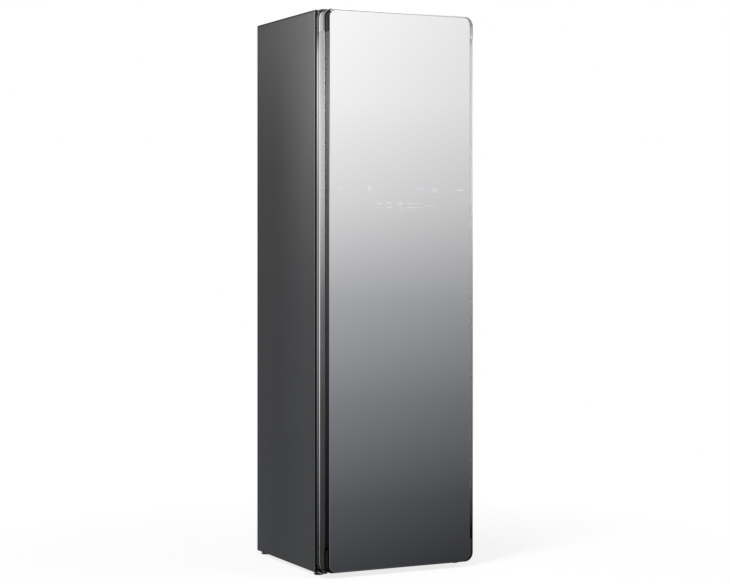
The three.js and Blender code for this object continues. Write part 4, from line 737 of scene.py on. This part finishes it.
def mirror_pane():
    """Glass pane: rounded outline set back along a bevel of the front edge, from back to front.

    The loft's first two bands of faces are the ground side, the third is the bevel and the
    rest is silvered.
    """
    low, high = box_mm("door_glass")
    corner, bevel, arris = 25, 1.6, 0.4
    outline = rounded((low[0], low[2]), (high[0], high[2]), corner, 24)
    levels = (
        (arris, high[1]), (0, high[1] - arris), (0, low[1] + 1.0), (bevel, low[1] + 0.1),
    )
    part = stacked(outline, levels, 1)
    made = piece("mirror_pane", [part], "door", "mirror_glass", "door_glass", 5)
    for other in (BEVEL, GLASS_SIDE):
        made.data.materials.append(other)
    count = len(outline())
    which = np.zeros(len(made.data.polygons), np.int32)
    which[: 2 * count] = 2
    which[2 * count : 3 * count] = 1
    made.data.polygons.foreach_set("material_index", which)


# Half the door's width and its front, in millimetres.
EDGE = 293.0
FRONT = -299.0


def door_section(groove_back):
    """Door edge section as (inset from the side, distance behind the glass front).

    Straight runs joined by quadratic curves: the bead, and the groove that faces the glass.
    """
    return np.vstack([
        [(0, 8.5), (0.9, 10.9), (0.9, 43.6)],
        curve((0.9, 43.6), (-0.9, 46), (0.9, 48.4)),
        [(0.9, 68.5), (24, 68.5), (24, 4.3), (17.3, 4.3)],
        curve((17.3, 4.3), (17.3, groove_back), (12.7, groove_back)),
        curve((12.7, groove_back), (2.4, groove_back), (2.4, 8.5)),
    ])


def door_rail(side, node, name):
    """Aluminium rail of one door edge: the section carried up the door."""
    low, high = box_mm(node)
    section = door_section(32.5)
    points = np.stack([side * (EDGE - section[:, 0]), FRONT + section[:, 1]], axis=1)
    part = prism(points, low[2], high[2])
    made = piece(name, [part], "door", "anodised_aluminium", node, 25)
    mark_inset(made, np.tile(section[:, 0], 2))


def door_cap(name, node, top):
    """End cap of the door: the edge section carried up one leg, along the end and back down.

    The path is the door outline at each inset, x = +-(EDGE - inset), with corners of 32 mm.
    The top cap has a pocket over the hinge bracket.
    """
    low, high = box_mm(node)
    section = door_section(14.7)
    outer, leg, way = (high[2], low[2], 1) if top else (low[2], high[2], -1)
    corner = 32
    rings = []
    for inset, back in section:
        bend = max(corner - inset, 1)
        line = arch(EDGE - inset, outer - way * inset, leg, bend, 14, way)
        rings.append(ring(line, FRONT + back, 1))
    part = loft(rings, "wrap", closed=False)
    if top:
        points, (side, mouth, ceiling) = part[0], (-261.5, -273, 1953)
        pocket = (points[:, 0] < side) & (points[:, 1] > mouth) & (points[:, 2] > ceiling)
        points[pocket, 2] = ceiling
    made = piece(name, [part], "door", "dark_plastic", node, 25, CAP)
    mark_inset(made, np.repeat(section[:, 0], len(line)))


def gasket():
    """Door seal: a foot on the liner and a bellows lip that swells towards its nose.

    The profile is (inset from the outer side, height over the foot), with its height
    brought to the node's depth.
    """
    low, high = box_mm("door_gasket")
    outline = rounded((low[0], low[2]), (high[0], high[2]), 12, 8)
    profile = [
        (0, 0), (0, 2.6), (1.2, 4.0), (3.4, 4.2), (2.6, 6.0), (3.2, 8.6), (5.0, 10.2), (7, 10.6),
        (9.0, 10.2), (10.8, 8.6), (11.4, 6.0), (10.6, 4.2), (12.8, 4.0), (14, 2.6), (14, 0),
    ]
    scale = (high[1] - low[1]) / 10.6
    levels = [(inset, low[1] + height * scale) for inset, height in profile]
    lip = stacked(outline, levels, 1, "wrap")
    piece("door_seal", [lip], "door", "black_rubber", "door_gasket", 50)


def press_cushion():
    """Felt pad: a flat slab with broad round rims."""
    low, high = box_mm("press_pad")
    outline = rounded((low[0], low[2]), (high[0], high[2]), 14, 8)
    pad = stacked(outline, softened(low[1], high[1], 2.4, 5), 1)
    made = piece("press_cushion", [pad], "door", "press_felt", "press_pad", 60)


def touch_marks():
    """Flat frosted marks behind the front of the glass: ovals, dashes and bars in two rows."""
    y, depth = FRONT + 0.02, 0.07

    def oval(x, z, wide, tall):
        t = np.linspace(0, 2 * np.pi, 24, endpoint=False)
        line = np.stack([x + wide / 2 * np.cos(t), z + tall / 2 * np.sin(t)], axis=1)
        return prism(line, y, y + depth, 1)

    def bar(x0, x1, z0, z1):
        line = rounded((x0, z0), (x1, z1), min(1.6, (z1 - z0) * 0.45), 4)()
        return prism(line, y, y + depth, 1)

    clear = [
        oval(-236, 1342, 11, 24), oval(-123, 1342, 15, 27),
        bar(119, 146, 1339, 1342.5), bar(121, 144, 1331.5, 1335), bar(224, 252, 1337.5, 1341.5),
        bar(-95, -75, 1286, 1292), bar(-58, -36, 1290, 1294), bar(-58, -36, 1275, 1279),
        bar(-12, 8, 1287, 1292), bar(24, 52, 1288.5, 1292), bar(24, 52, 1275, 1278),
    ]
    thin = [bar(-62 + 13 * k, -54 + 13 * k, 1338, 1346) for k in range(4)]
    thin += [
        bar(62, 92, 1333, 1350), bar(122, 142, 1346, 1349), bar(228, 246, 1345.5, 1348.5),
        bar(-95, -75, 1293, 1299), bar(-95, -75, 1274, 1279.5), bar(-12, 8, 1270, 1280),
        bar(-12, 8, 1293.5, 1298), bar(54, 84, 1288.5, 1292), bar(54, 84, 1275, 1278),
        bar(24, 60, 1267, 1269), bar(88, 148, 1281, 1284),
    ]
    piece("touch_marks", clear, "door", "mirror_glass", look=MARK)
    piece("thin_touch_marks", thin, "door", "mirror_glass", look=HAZE)


# Cabinet


def side_shell(side, node, name):
    """Folded sheet: flanges and side joined by round bends, carried over the cabinet's height."""
    low, high = box_mm(node)
    gauge, bend, front_lip, rear_lip, hem = 1.5, 4.0, 271, 278, 6
    x, y0, y1 = EDGE - bend, low[1], high[1]
    folded = front_lip + gauge
    outside = np.vstack([
        [(front_lip, y0 + hem), (front_lip, y0 + gauge)],
        arc((folded, y0 + gauge), gauge, 180, 270, 4),
        arc((x, y0 + bend), bend, 270, 360, 8), arc((x, y1 - bend), bend, 0, 90, 8),
        [(rear_lip, y1)],
    ])
    inner = bend - gauge
    inside = np.vstack([
        [(rear_lip, y1 - gauge)], arc((x, y1 - bend), inner, 90, 0, 8),
        arc((x, y0 + bend), inner, 360, 270, 8), [(folded, y0 + gauge), (folded, y0 + hem)],
    ])
    section = np.vstack([outside, inside]) * (side, 1)
    sheet = prism(section, low[2], high[2])
    piece(name, [sheet], "cabinet", "painted_steel", node, 25)


def levelling_foot(node):
    """Turned foot pad, hexagon nut and threaded stem."""
    low, high = box_mm(node)
    cx, cy = (low[:2] + high[:2]) / 2
    pad = [(0, 0), (15.5, 0), (16.6, 0.5), (17, 1.6), (17, 3.6), (16, 4.8), (8, 6), (0, 6)]
    top, radius, depth = 11.7, 5, 0.45
    nut = [(0, 6), (7.8, 6), (9, 6.7), (9, 11), (7.8, top), (0, top)]
    turns = enumerate(np.linspace(top, high[2], 53))
    thread = [(radius - depth * (k % 2), z) for k, z in turns]
    sides = ((pad, 48), (nut, 6), (thread, 24))
    parts = [lathe(profile, (cx, cy, 0), 2, count) for profile, count in sides]
    piece(node + "_turned", parts, "cabinet", "dark_plastic", node, 30)


def top_cover():
    """Top sheet with rounded rims and a raised pressing."""
    low, high = box_mm("top_panel")
    margin, rise = 60, 0.8
    cover = slab(low, (high[0], high[1], high[2] - rise), 3, 1.6)
    foot = (low[0] + margin, low[1] + margin, high[2] - 4)
    raised = slab(foot, (high[0] - margin, high[1] - margin, high[2]), 30, 1.2)
    piece("top_cover", [cover, raised], "cabinet", "painted_steel", "top_panel", 40)


def screws(name, places, radius, way):
    """Domed screw heads with a hollow in the middle, which face along y."""
    dome = [(0, 0), (1, 0), (1, 0.12), (0.8, 0.34), (0.45, 0.44), (0.36, 0.16), (0, 0.16)]
    profile = [(r * radius, way * h * radius) for r, h in dome]
    heads = [lathe(profile, place, 1, 24) for place in places]
    piece(name, heads, "cabinet", "galvanised_sheet")


def front_moulding():
    """Front frame: a rim-softened slab through which both mouths are cut.

    The chamber's mouth has rounder corners at its ceiling, so two slabs cut it.
    """
    low, high = box_mm("front_frame")
    y0, y1 = low[1] - 9, high[1] + 9
    half, floor, ceiling, lap, bay = 250, 442, 1850, 30, 235
    cuts = [
        slab((-half, y0, floor), (half, y1, ceiling - lap), 10, 0.1, 1),
        slab((-half, y0, floor + lap), (half, y1, ceiling), 22, 0.1, 1),
        slab((-bay, y0, 115), (bay, y1, 405), 4, 0.1, 1),
    ]
    part = combined(slab(low, high, 3, 1.5, 1), cuts)
    piece("front_moulding", [part], "cabinet", "grey_plastic", "front_frame")


def chamber_tub():
    """Tub with rounded corners, open at its front and foot.

    Each ring is a U over the ceiling: x = +-(250 - inset), top = 1850 - inset, corners of
    22 - inset. The rings run over the outside, round the mouth and back along the inside
    to the rear wall, which a quarter round of 18 mm meets. Two ledges carry the shelf, and
    five ribs stiffen the rear wall.
    """
    low, high = box_mm("chamber_liner")
    wall, corner, cove = 3, 22, 18
    half, top, rear = high[0] - wall, high[2] - wall, high[1] - wall
    t = np.radians(np.linspace(0, 90, 7))
    bends = list(zip(cove * (1 - np.cos(t)), rear - cove * (1 - np.sin(t))))
    rings = []
    for inset, y in [(cove, high[1]), (-wall, high[1]), (-wall, low[1]), (0, low[1]), *bends]:
        line = arch(half - inset, top - inset, low[2], max(corner - inset, 1), 10)
        rings.append(ring(line, y, 1))
    points, faces = loft(rings, "open", closed=False)
    index = np.arange(len(points)).reshape(len(rings), -1)
    faces += [index[0].tolist(), index[-1][::-1].tolist()]
    faces += [index[:, 0].tolist(), index[::-1, -1].tolist()]
    faces.append(index[[0, -1, -1, 0], [0, 0, -1, -1]].tolist())
    parts = [(points, faces)]
    ledge_front, ledge_back, ledge_foot, ledge_top = -183.2, 191, 606, 620
    rib_foot, rib_head, ribs = 634, 1800, 5
    for side in (-1, 1):
        x0, x1 = sorted((side * (half - 11), side * (half + 1.5)))
        first, last = (x0, ledge_front, ledge_foot), (x1, ledge_back, ledge_top)
        parts.append(slab(first, last, 4, 3, 1))
    for k in range(ribs):
        x = -half + half * 2 * (k + 1) / (ribs + 1)
        parts.append(slab((x - 5, rear - 3, rib_foot), (x + 5, rear + 1.5, rib_head), 5, 2, 1))
    piece("chamber_tub", parts, "cabinet", "pale_plastic", "chamber_liner")


def garment_shelf():
    """Open grid: a soft-rimmed frame with rounded bars from front to back."""
    low, high = box_mm("shelf")
    edge, bar, pitch = 20, 11, 29
    outline = rounded(low[:2], high[:2], 10, 8)
    parts = [frame_ring(outline, edge, low[2], high[2], 3)]
    count = int((high[0] - low[0] - 2 * edge - 18) // pitch) + 1
    for k in range(count + 1):
        x = (k - count / 2) * pitch
        first = (x - bar / 2, low[1] + edge - 3, low[2] + 1)
        last = (x + bar / 2, high[1] - edge + 3, high[2] - 0.6)
        parts.append(slab(first, last, 4.2, 2.4, 1))
    piece("garment_shelf", parts, "lift_out_shelf", "grey_plastic", "shelf", 40)


def hanging_bar():
    """Turned bar with swollen ends, two arms, and the carriage with its yoke."""
    low, high = box_mm("hanger_bar")
    y, z = (low[1] + high[1]) / 2, low[2] + 13
    end = [(0, 221), (10, 221), (12.3, 220), (13, 218), (13, 211.5), (12.2, 209.6), (11, 209)]
    profile = [(r, -h) for r, h in end] + [(r, h) for r, h in end[::-1]]
    parts = [lathe(profile, (0, y, z), 0)]
    arm, plate, reach = 90, 1866, 25
    for side in (-1, 1):
        x = side * arm
        parts.append(slab((x - 7, y - 5, z), (x + 7, y + 5, plate), 3, 0.4))
        x0, x1 = sorted((side * 5.6, side * 13.6))
        parts.append(slab((x0, y - reach, plate), (x1, y + reach, high[2]), 1.5, 1))
    carriage = slab((-110, y - reach, plate - 0.4), (110, y + reach, plate + 5.6), 8, 1.2)
    parts.append(carriage)
    piece("hanging_bar", parts, "hanger_carriage", "grey_plastic", "hanger_bar")


def moulded_hanger(index):
    """Hanger: one closed oval rail for shoulders and trouser bar, a collar and a wire hook.

    The shoulders follow the cubic through their four drawn points, the same at both sides, and
    the corners are cubic curves (1-t)^3 a + 3t(1-t)^2 b + 3t^2(1-t) c + t^3 d. The rail is
    widest at the neck and thins with the square root of what is left of the way out.
    """
    node = f"coat_hanger_{index}"
    low, high = box_mm(node)
    x = (low[0] + high[0]) / 2
    y, z = (low[1] + high[1]) / 2, 1800.0
    across = (1.0, 0.0, 0.0)

    def at(points):
        return ring(np.asarray(points) + (y, z), x, 0)

    arm = np.polyfit((0, 42.5, 106.25, 170), (-61.3, -69.5, -89.3, -122.5), 3)
    u = np.linspace(-152, 152, 49)
    shoulders = np.stack([u, np.polyval(arm, np.abs(u))], axis=1)
    t = np.linspace(0, 1, 15)[1:-1, None]
    half, foot = 138, -152.3
    a, d = shoulders[-1], np.array([half, foot])
    b, c = a + (15, -9), d + (26, 0)
    corner = (1 - t) ** 3 * a + 3 * t * (1 - t) ** 2 * b + 3 * t**2 * (1 - t) * c + t**3 * d
    bar = np.stack([np.linspace(half, -half, 33), np.full(33, foot)], axis=1)
    loop = np.vstack([shoulders, corner, bar, corner[::-1] * (-1, 1)])
    neck = 4.4 * (1 - np.abs(loop[:, 0]) / 164) ** 0.5 * (loop[:, 1] > -135)
    parts = [sweep(at(loop), across, 10.6 + neck, 13, 20, 0.8, "wrap")]
    hook = np.vstack([arc((0, 0), 13.8, -30, 268, 40), [(0, -15), (0, -30), (0, -50), (0, -62)]])
    parts.append(sweep(at(hook), across, 5, 5, 14))
    collar = [(0, -64), (6.2, -64), (6.6, -60), (5.2, -50), (3.6, -46), (0, -46)]
    parts.append(lathe(collar, (x, y, z), 2, 24))
    name, body = f"moulded_hanger_{index}", f"hanger_{index}"
    piece(name, parts, body, "dark_plastic", node, 50)


def door_pan():
    """Inner door moulding with soft rims and the press recess."""
    low, high = box_mm("door_liner")
    half, floor, mouth, foot, head = 193, -244.5, -220, 762, 1448
    recess = slab((-half, floor, foot), (half, mouth, head), 14, 2.5, 1)
    part = combined(slab(low, high, 5, 2.2, 1), [recess])
    piece("door_pan", [part], "door", "pale_plastic", "door_liner")


def pressing_plate():
    """Press plate: a soft-rimmed slab with five coved dishes and a button well, on two barrels."""
    back, front = -237.9, -217.9
    left, right, foot, head = -185, 185, 784, 1426
    body = slab((left, back, foot), (right, front, head), 14, 2.4, 1)
    margin, land = 14, 6
    pitch = (136 - (left + margin)) / 5
    tools = []
    for k in range(5):
        x = left + margin + k * pitch + land / 2
        first = (x, front - 3, foot + margin)
        tools.append(slab(first, (x + pitch - land, front + 12, head - margin), 7, 2.6, 1))
    button_well = slab((146.6, -229.9, 1072.6), (169.4, front + 9, 1137.4), 3, 0.1, 1)
    parts = [combined(body, [*tools, button_well])]
    x, y = -200, -220.2
    for z in (860, 1350):
        barrel = [(0, -23), (6.2, -23), (7, -22.2), (7, 22.2), (6.2, 23), (0, 23)]
        pin = [(0, -33), (2.2, -33), (2.5, -32.6), (2.5, 32.6), (2.2, 33), (0, 33)]
        parts += [lathe(barrel, (x, y, z), 2, 32), lathe(pin, (x, y, z), 2, 20)]
        parts.append(slab((x, y, z - 23), (left + margin, y + 5.6, z + 23), 2, 0.8, 1))
    piece("pressing_plate", parts, "press", "grey_plastic", "press_plate")


def release_button():
    """Press button with five finger ribs."""
    low, high = box_mm("press_button")
    pitch, half = 9, 1.5
    parts = [slab(low, (high[0], high[1] - 0.9, high[2]), 3, 1.4, 1)]
    for k in range(5):
        z = (low[2] + high[2]) / 2 + (k - 2) * pitch
        first, last = (low[0] + 4, high[1] - 2.4, z - half), (high[0] - 4, high[1], z + half)
        parts.append(slab(first, last, 1.4, 0.8, 1))
    piece("release_button", parts, "press_release", "dark_plastic", "press_button")


def water_tank(node, body, name):
    """Tank shell with round corners, a hand grip let into its front and a rolled filling mouth."""
    low, high = box_mm(node)
    wall, bore = 3, 18
    x = (low[0] + high[0]) / 2
    top, mouth_y = high[2] - 10, low[1] + 40
    outer = slab(low, (high[0], high[1], top), 12, 4)
    room = slab(low + wall, (high[0] - wall, high[1] - wall, top - wall), 9, 2.5)
    hole = lathe([(0, -12), (bore, -12), (bore, 12), (0, 12)], (x, mouth_y, top), 2, 40)
    half, depth, foot, head = 60, 16, top - 74, top - 40
    first = (x - half - wall, low[1], foot - wall)
    last = (x + half + wall, low[1] + depth + wall, head + wall)
    cup = slab(first, last, 9, 3, 1)
    grip = slab((x - half, low[1] - 9, foot), (x + half, low[1] + depth, head), 8, 3.5, 1)
    shell = combined(combined(combined(outer, [room, hole]), [cup], "UNION"), [grip])
    lip = [(bore, -4), (21, -4), (21, 8.6), (20.4, 9.7), (19.5, 10), (18.5, 9.7), (bore, 8.8)]
    mouth = lathe(lip, (x, mouth_y, top), 2, 48, "wrap")
    piece(name, [shell, mouth], body, "tank_plastic", node)


def lens_bar():
    """Lamp lens: a bar whose face falls off with (2u - 1)^4 and carries cos(24 pi u) prisms."""
    low, high = box_mm("lamp_lens")
    prisms, depth, fall, rim = 12, 0.35, 1.6, 1.2
    u = np.linspace(0, 1, 4 * prisms + 1)
    wave = 0.5 + 0.5 * np.cos(u * 2 * np.pi * prisms)
    face = low[2] + fall * (2 * u - 1) ** 4 + depth * wave
    y = low[1] + rim + (high[1] - low[1] - 2 * rim) * u
    section = np.vstack([np.stack([y, face], axis=1), [(high[1], high[2]), (low[1], high[2])]])
    part = prism(section, low[0], high[0], 0)
    piece("lens_bar", [part], "cabinet", "lamp_diffuser", "lamp_lens")


def filter_net():
    """Fine net held in the windows of the lint filter."""
    low, high = box_mm("lint_filter")
    y = (low[1] + high[1]) / 2
    part = slab((low[0] + 9, y - 0.3, low[2] + 4), (high[0] - 9, y + 0.3, 436), 2, 0.1, 1, 1)
    piece("filter_net", [part], "filter", "dark_plastic", look=NET)


# Machine space


def compressor_can():
    """Welded can: a turned profile with a domed lid, a weld seam, and three waisted rubber feet."""
    low, high = box_mm("compressor")
    centre = (-205.0, 105.0, 0.0)
    foot, top = low[2] + 16, high[2]
    t = np.radians(np.linspace(0, 90, 13))
    dome = [(56 * c, top - 34 + 34 * h) for c, h in zip(np.cos(t), np.sin(t))]
    seam = [(56, 150), (57.2, 151), (57.6, 153), (57.2, 155), (56, 156)]
    profile = [(0, foot), (44, foot), (52, foot + 3), (56, foot + 11), *seam, *dome]
    can = lathe(profile, centre, 2, 72)
    piece("compressor_can", [can], "cabinet", "black_paint", "compressor")
    waist = [(0, 0), (10.6, 0), (11, 1.6), (10.4, 4), (8.4, 8), (9.6, 12), (9.6, 20), (0, 20)]
    feet = []
    for k in range(3):
        turn = math.radians(30 + 120 * k)
        place = (centre[0] + 47 * math.cos(turn), centre[1] + 47 * math.sin(turn), low[2])
        feet.append(lathe(waist, place, 2, 28))
    piece("compressor_feet", feet, "cabinet", "black_rubber")


def drive_motor_can():
    """Flat gear motor over the hanger drive: plate, turned can with a bearing boss, and shaft."""
    low, high = box_mm("drive_motor")
    plate, face, top = low[2] + 13.5, high[2] - 40, high[2]
    y = (low[1] + high[1]) / 2
    can = [
        (0, plate), (32.2, plate), (33, plate + 1), (33, top - 10), (32, top - 6.4),
        (28, top - 3), (12, top - 2.2), (11.4, top), (0, top),
    ]
    shaft = [(0, low[2]), (3.6, low[2]), (4, low[2] + 0.4), (4, face), (0, face)]
    parts = [slab((low[0], low[1], plate), (high[0], high[1], face), 6, 0.6)]
    parts += [lathe(can, (0, y, 0), 2, 64), lathe(shaft, (0, y, 0), 2, 24)]
    head = [(0, 0), (3.4, 0), (3.4, 1), (2.6, 1.9), (0, 2.2)]
    for x in (-50, 50):
        for across in (-36, 36):
            parts.append(lathe(head, (x, y + across, face), 2, 20))
    piece("drive_motor_can", parts, "cabinet", "galvanised_sheet", "drive_motor")


def blower_motor_can():
    """Blower motor: a turned can with cooling ribs, its shaft, and the stand under it."""
    low, high = box_mm("blower_motor")
    y, r = (low[1] + high[1]) / 2, (high[1] - low[1]) / 2
    z, near, far = high[2] - r, high[0] - 44, high[0]
    ribs = [(r - 1.2 * (k % 2), near + 7 + 1.6 * k) for k in range(17)]
    head, tail = [(0, near), (r - 4, near), (r, near + 3)], [(r, far - 4), (r - 2, far - 1)]
    can = [*head, *ribs, *tail, (r - 7, far), (0, far)]
    shaft = [(0, low[0]), (3.6, low[0]), (4, low[0] + 0.4), (4, near + 1), (0, near + 1)]
    stand = slab((near + 1, y - 17, low[2]), (far - 1, y + 17, z - 12), 3, 0.8)
    parts = [lathe(can, (0, y, z), 0, 64), lathe(shaft, (0, y, z), 0, 24), stand]
    piece("blower_motor_can", parts, "cabinet", "galvanised_sheet", "blower_motor")


def water_pump(node, name):
    """Small pump: rounded base, turned body with a clamped joint, and two barbed spouts."""
    low, high = box_mm(node)
    x, y, z = (low[0] + high[0]) / 2, high[1] - 25, low[2]
    body = [
        (0, 1), (20, 1), (20, 36), (21.4, 36.6), (21.4, 40.4), (20, 41), (20, 61), (18, 65),
        (14, 66), (0, 66),
    ]
    barbs = [
        (0, 0), (3.6, 0), (5, 3), (4, 3), (5, 6.4), (4, 6.4), (5, 9.8), (4.2, 9.8), (4.2, 32),
        (0, 32),
    ]
    base = slab((low[0], y - 25, z), (high[0], y + 25, z + 5), 8, 0.8)
    parts = [base, lathe(body, (x, y, z), 2, 48)]
    parts += [lathe(barbs, (x, low[1], z + h), 1, 24) for h in (22, 44)]
    piece(name, parts, "cabinet", SLOTS[node], node)


def steam_boiler():
    """Steam generator: two pressed halves clinched at a flange, and a neck with a hexagon nut."""
    low, high = box_mm("steam_generator")
    lid, top = high[2] - 16, high[2]
    halves = slab(low + (2, 2, 0), (high[0] - 2, high[1] - 2, lid), 16, 7)
    flange = slab((low[0], low[1], 72), (high[0], high[1], 76), 18, 1)
    centre = ((low[0] + high[0]) / 2, high[1] - 24, 0)
    tube = [(0, lid - 6), (8.4, lid - 6), (8.4, lid + 3), (7, lid + 4), (7, top), (0, top)]
    flats = [(0, 3), (8, 3), (9, 3.8), (9, 10.2), (8, 11), (0, 11)]
    neck = lathe(tube, centre, 2, 36)
    nut = lathe([(r, lid + h) for r, h in flats], centre, 2, 6)
    parts = [halves, flange, neck, nut]
    piece("steam_boiler", parts, "cabinet", "galvanised_sheet", "steam_generator")


dress_frame()
mirror_pane()
touch_marks()
door_rail(-1, "door_left_profile", "left_door_rail")
door_rail(1, "door_right_profile", "right_door_rail")
door_cap("top_door_cap", "door_top_cap", True)
door_cap("bottom_door_cap", "door_bottom_cap", False)
gasket()
press_cushion()
side_shell(-1, "left_side_panel", "left_side_shell")
side_shell(1, "right_side_panel", "right_side_shell")
top_cover()
front_moulding()
chamber_tub()
garment_shelf()
hanging_bar()
for number in (1, 2, 3):
    moulded_hanger(number)
door_pan()
pressing_plate()
release_button()
water_tank("water_supply_tank", "supply_tank", "supply_tank_shell")
water_tank("drain_tank", "waste_tank", "waste_tank_shell")
lens_bar()
filter_net()
compressor_can()
drive_motor_can()
blower_motor_can()
water_pump("supply_pump", "supply_pump_body")
water_pump("drain_pump", "drain_pump_body")
steam_boiler()
hinge_leaf = [(-280.5, -222.8, z) for z in (1938, 1950, 28, 56)]
screws("hinge_screws", hinge_leaf, 3.2, -1)
rear_rim = [(x, 297.2, z) for x in (-283, 283) for z in (60, 500, 960, 1420, 1900)]
screws("rear_screws", rear_rim, 3.6, 1)
for corner in ("front_left", "front_right", "rear_left", "rear_right"):
    levelling_foot(corner + "_foot")


# Studio


def studio():
    """White surround, dimmer for diffuse light, pale floor, two soft lamps and the camera."""
    scene = bpy.context.scene
    world = bpy.data.worlds.new("surround")
    scene.world = world
    world.use_nodes = True
    tree = world.node_tree
    tree.nodes.clear()
    path = add(tree, "LightPath", out=None)
    seen = path["Is Camera Ray"]
    for other in ("Is Glossy Ray", "Is Transmission Ray"):
        seen = add(tree, "Math", (seen, path[other]), operation="MAXIMUM")
    soft = add(tree, "Background", {"Color": WHITE, "Strength": 0.55})
    white = add(tree, "Background", {"Color": WHITE, "Strength": 1.0})
    both = add(tree, "MixShader", (seen, soft, white))
    add(tree, "OutputWorld", {"Surface": both}, None)

    made = bpy.data.materials.new("pale studio floor")
    made.use_nodes = True
    tree = made.node_tree
    tree.nodes.clear()
    path = add(tree, "LightPath", out=None)
    place = add(tree, "TexCoord", out="Object")
    away = add(tree, "VectorMath", (place,), "Value", operation="LENGTH")
    share = add(tree, "MapRange", (away, 0.6, 1.6, 0.8, 1.0))
    seen = add(tree, "Math", (path["Is Camera Ray"], share), operation="MULTIPLY")
    seen = add(tree, "Math", (seen, path["Is Glossy Ray"]), operation="MAXIMUM")
    grey = add(tree, "BsdfDiffuse", {"Color": (0.9, 0.9, 0.9, 1)})
    white = add(tree, "Emission", {"Color": WHITE, "Strength": 1.0})
    both = add(tree, "MixShader", (seen, grey, white))
    add(tree, "OutputMaterial", {"Surface": both}, None)
    mesh = bpy.data.meshes.new("studio_floor")
    reach = 40.0
    corners = [(-reach, -reach, 0), (reach, -reach, 0), (reach, reach, 0), (-reach, reach, 0)]
    mesh.from_pydata(corners, [], [(0, 1, 2, 3)])
    mesh.materials.append(made)
    floor = bpy.data.objects.new("studio_floor", mesh)
    scene.collection.objects.link(floor)

    def lamp(name, place, aim, size, power):
        light = bpy.data.lights.new(name, "AREA")
        light.shape = "DISK"
        light.size, light.energy = size, power
        made = bpy.data.objects.new(name, light)
        made.location = place
        made.visible_camera = made.visible_glossy = False
        made.rotation_euler = (Vector(aim) - Vector(place)).to_track_quat("-Z", "Y").to_euler()
        scene.collection.objects.link(made)

    lamp("key", (-0.9, -0.9, 2.0), (-0.29, -0.2, 1.9), 0.6, 55)
    lamp("fill", (2.6, -2.8, 3.2), (0, 0, 0.4), 2.4, 60)

    camera = bpy.data.cameras.new("camera")
    camera.lens, camera.sensor_width = 88.69, 36
    camera.shift_y = -0.064
    camera.clip_end = 200
    made = bpy.data.objects.new("camera", camera)
    made.location = (-2.8949, -5.8755, 1.1447)
    made.rotation_euler = (math.radians(90), 0, math.radians(-26.287))
    scene.collection.objects.link(made)
    scene.camera = made
    scene.view_settings.view_transform = "Standard"


studio()
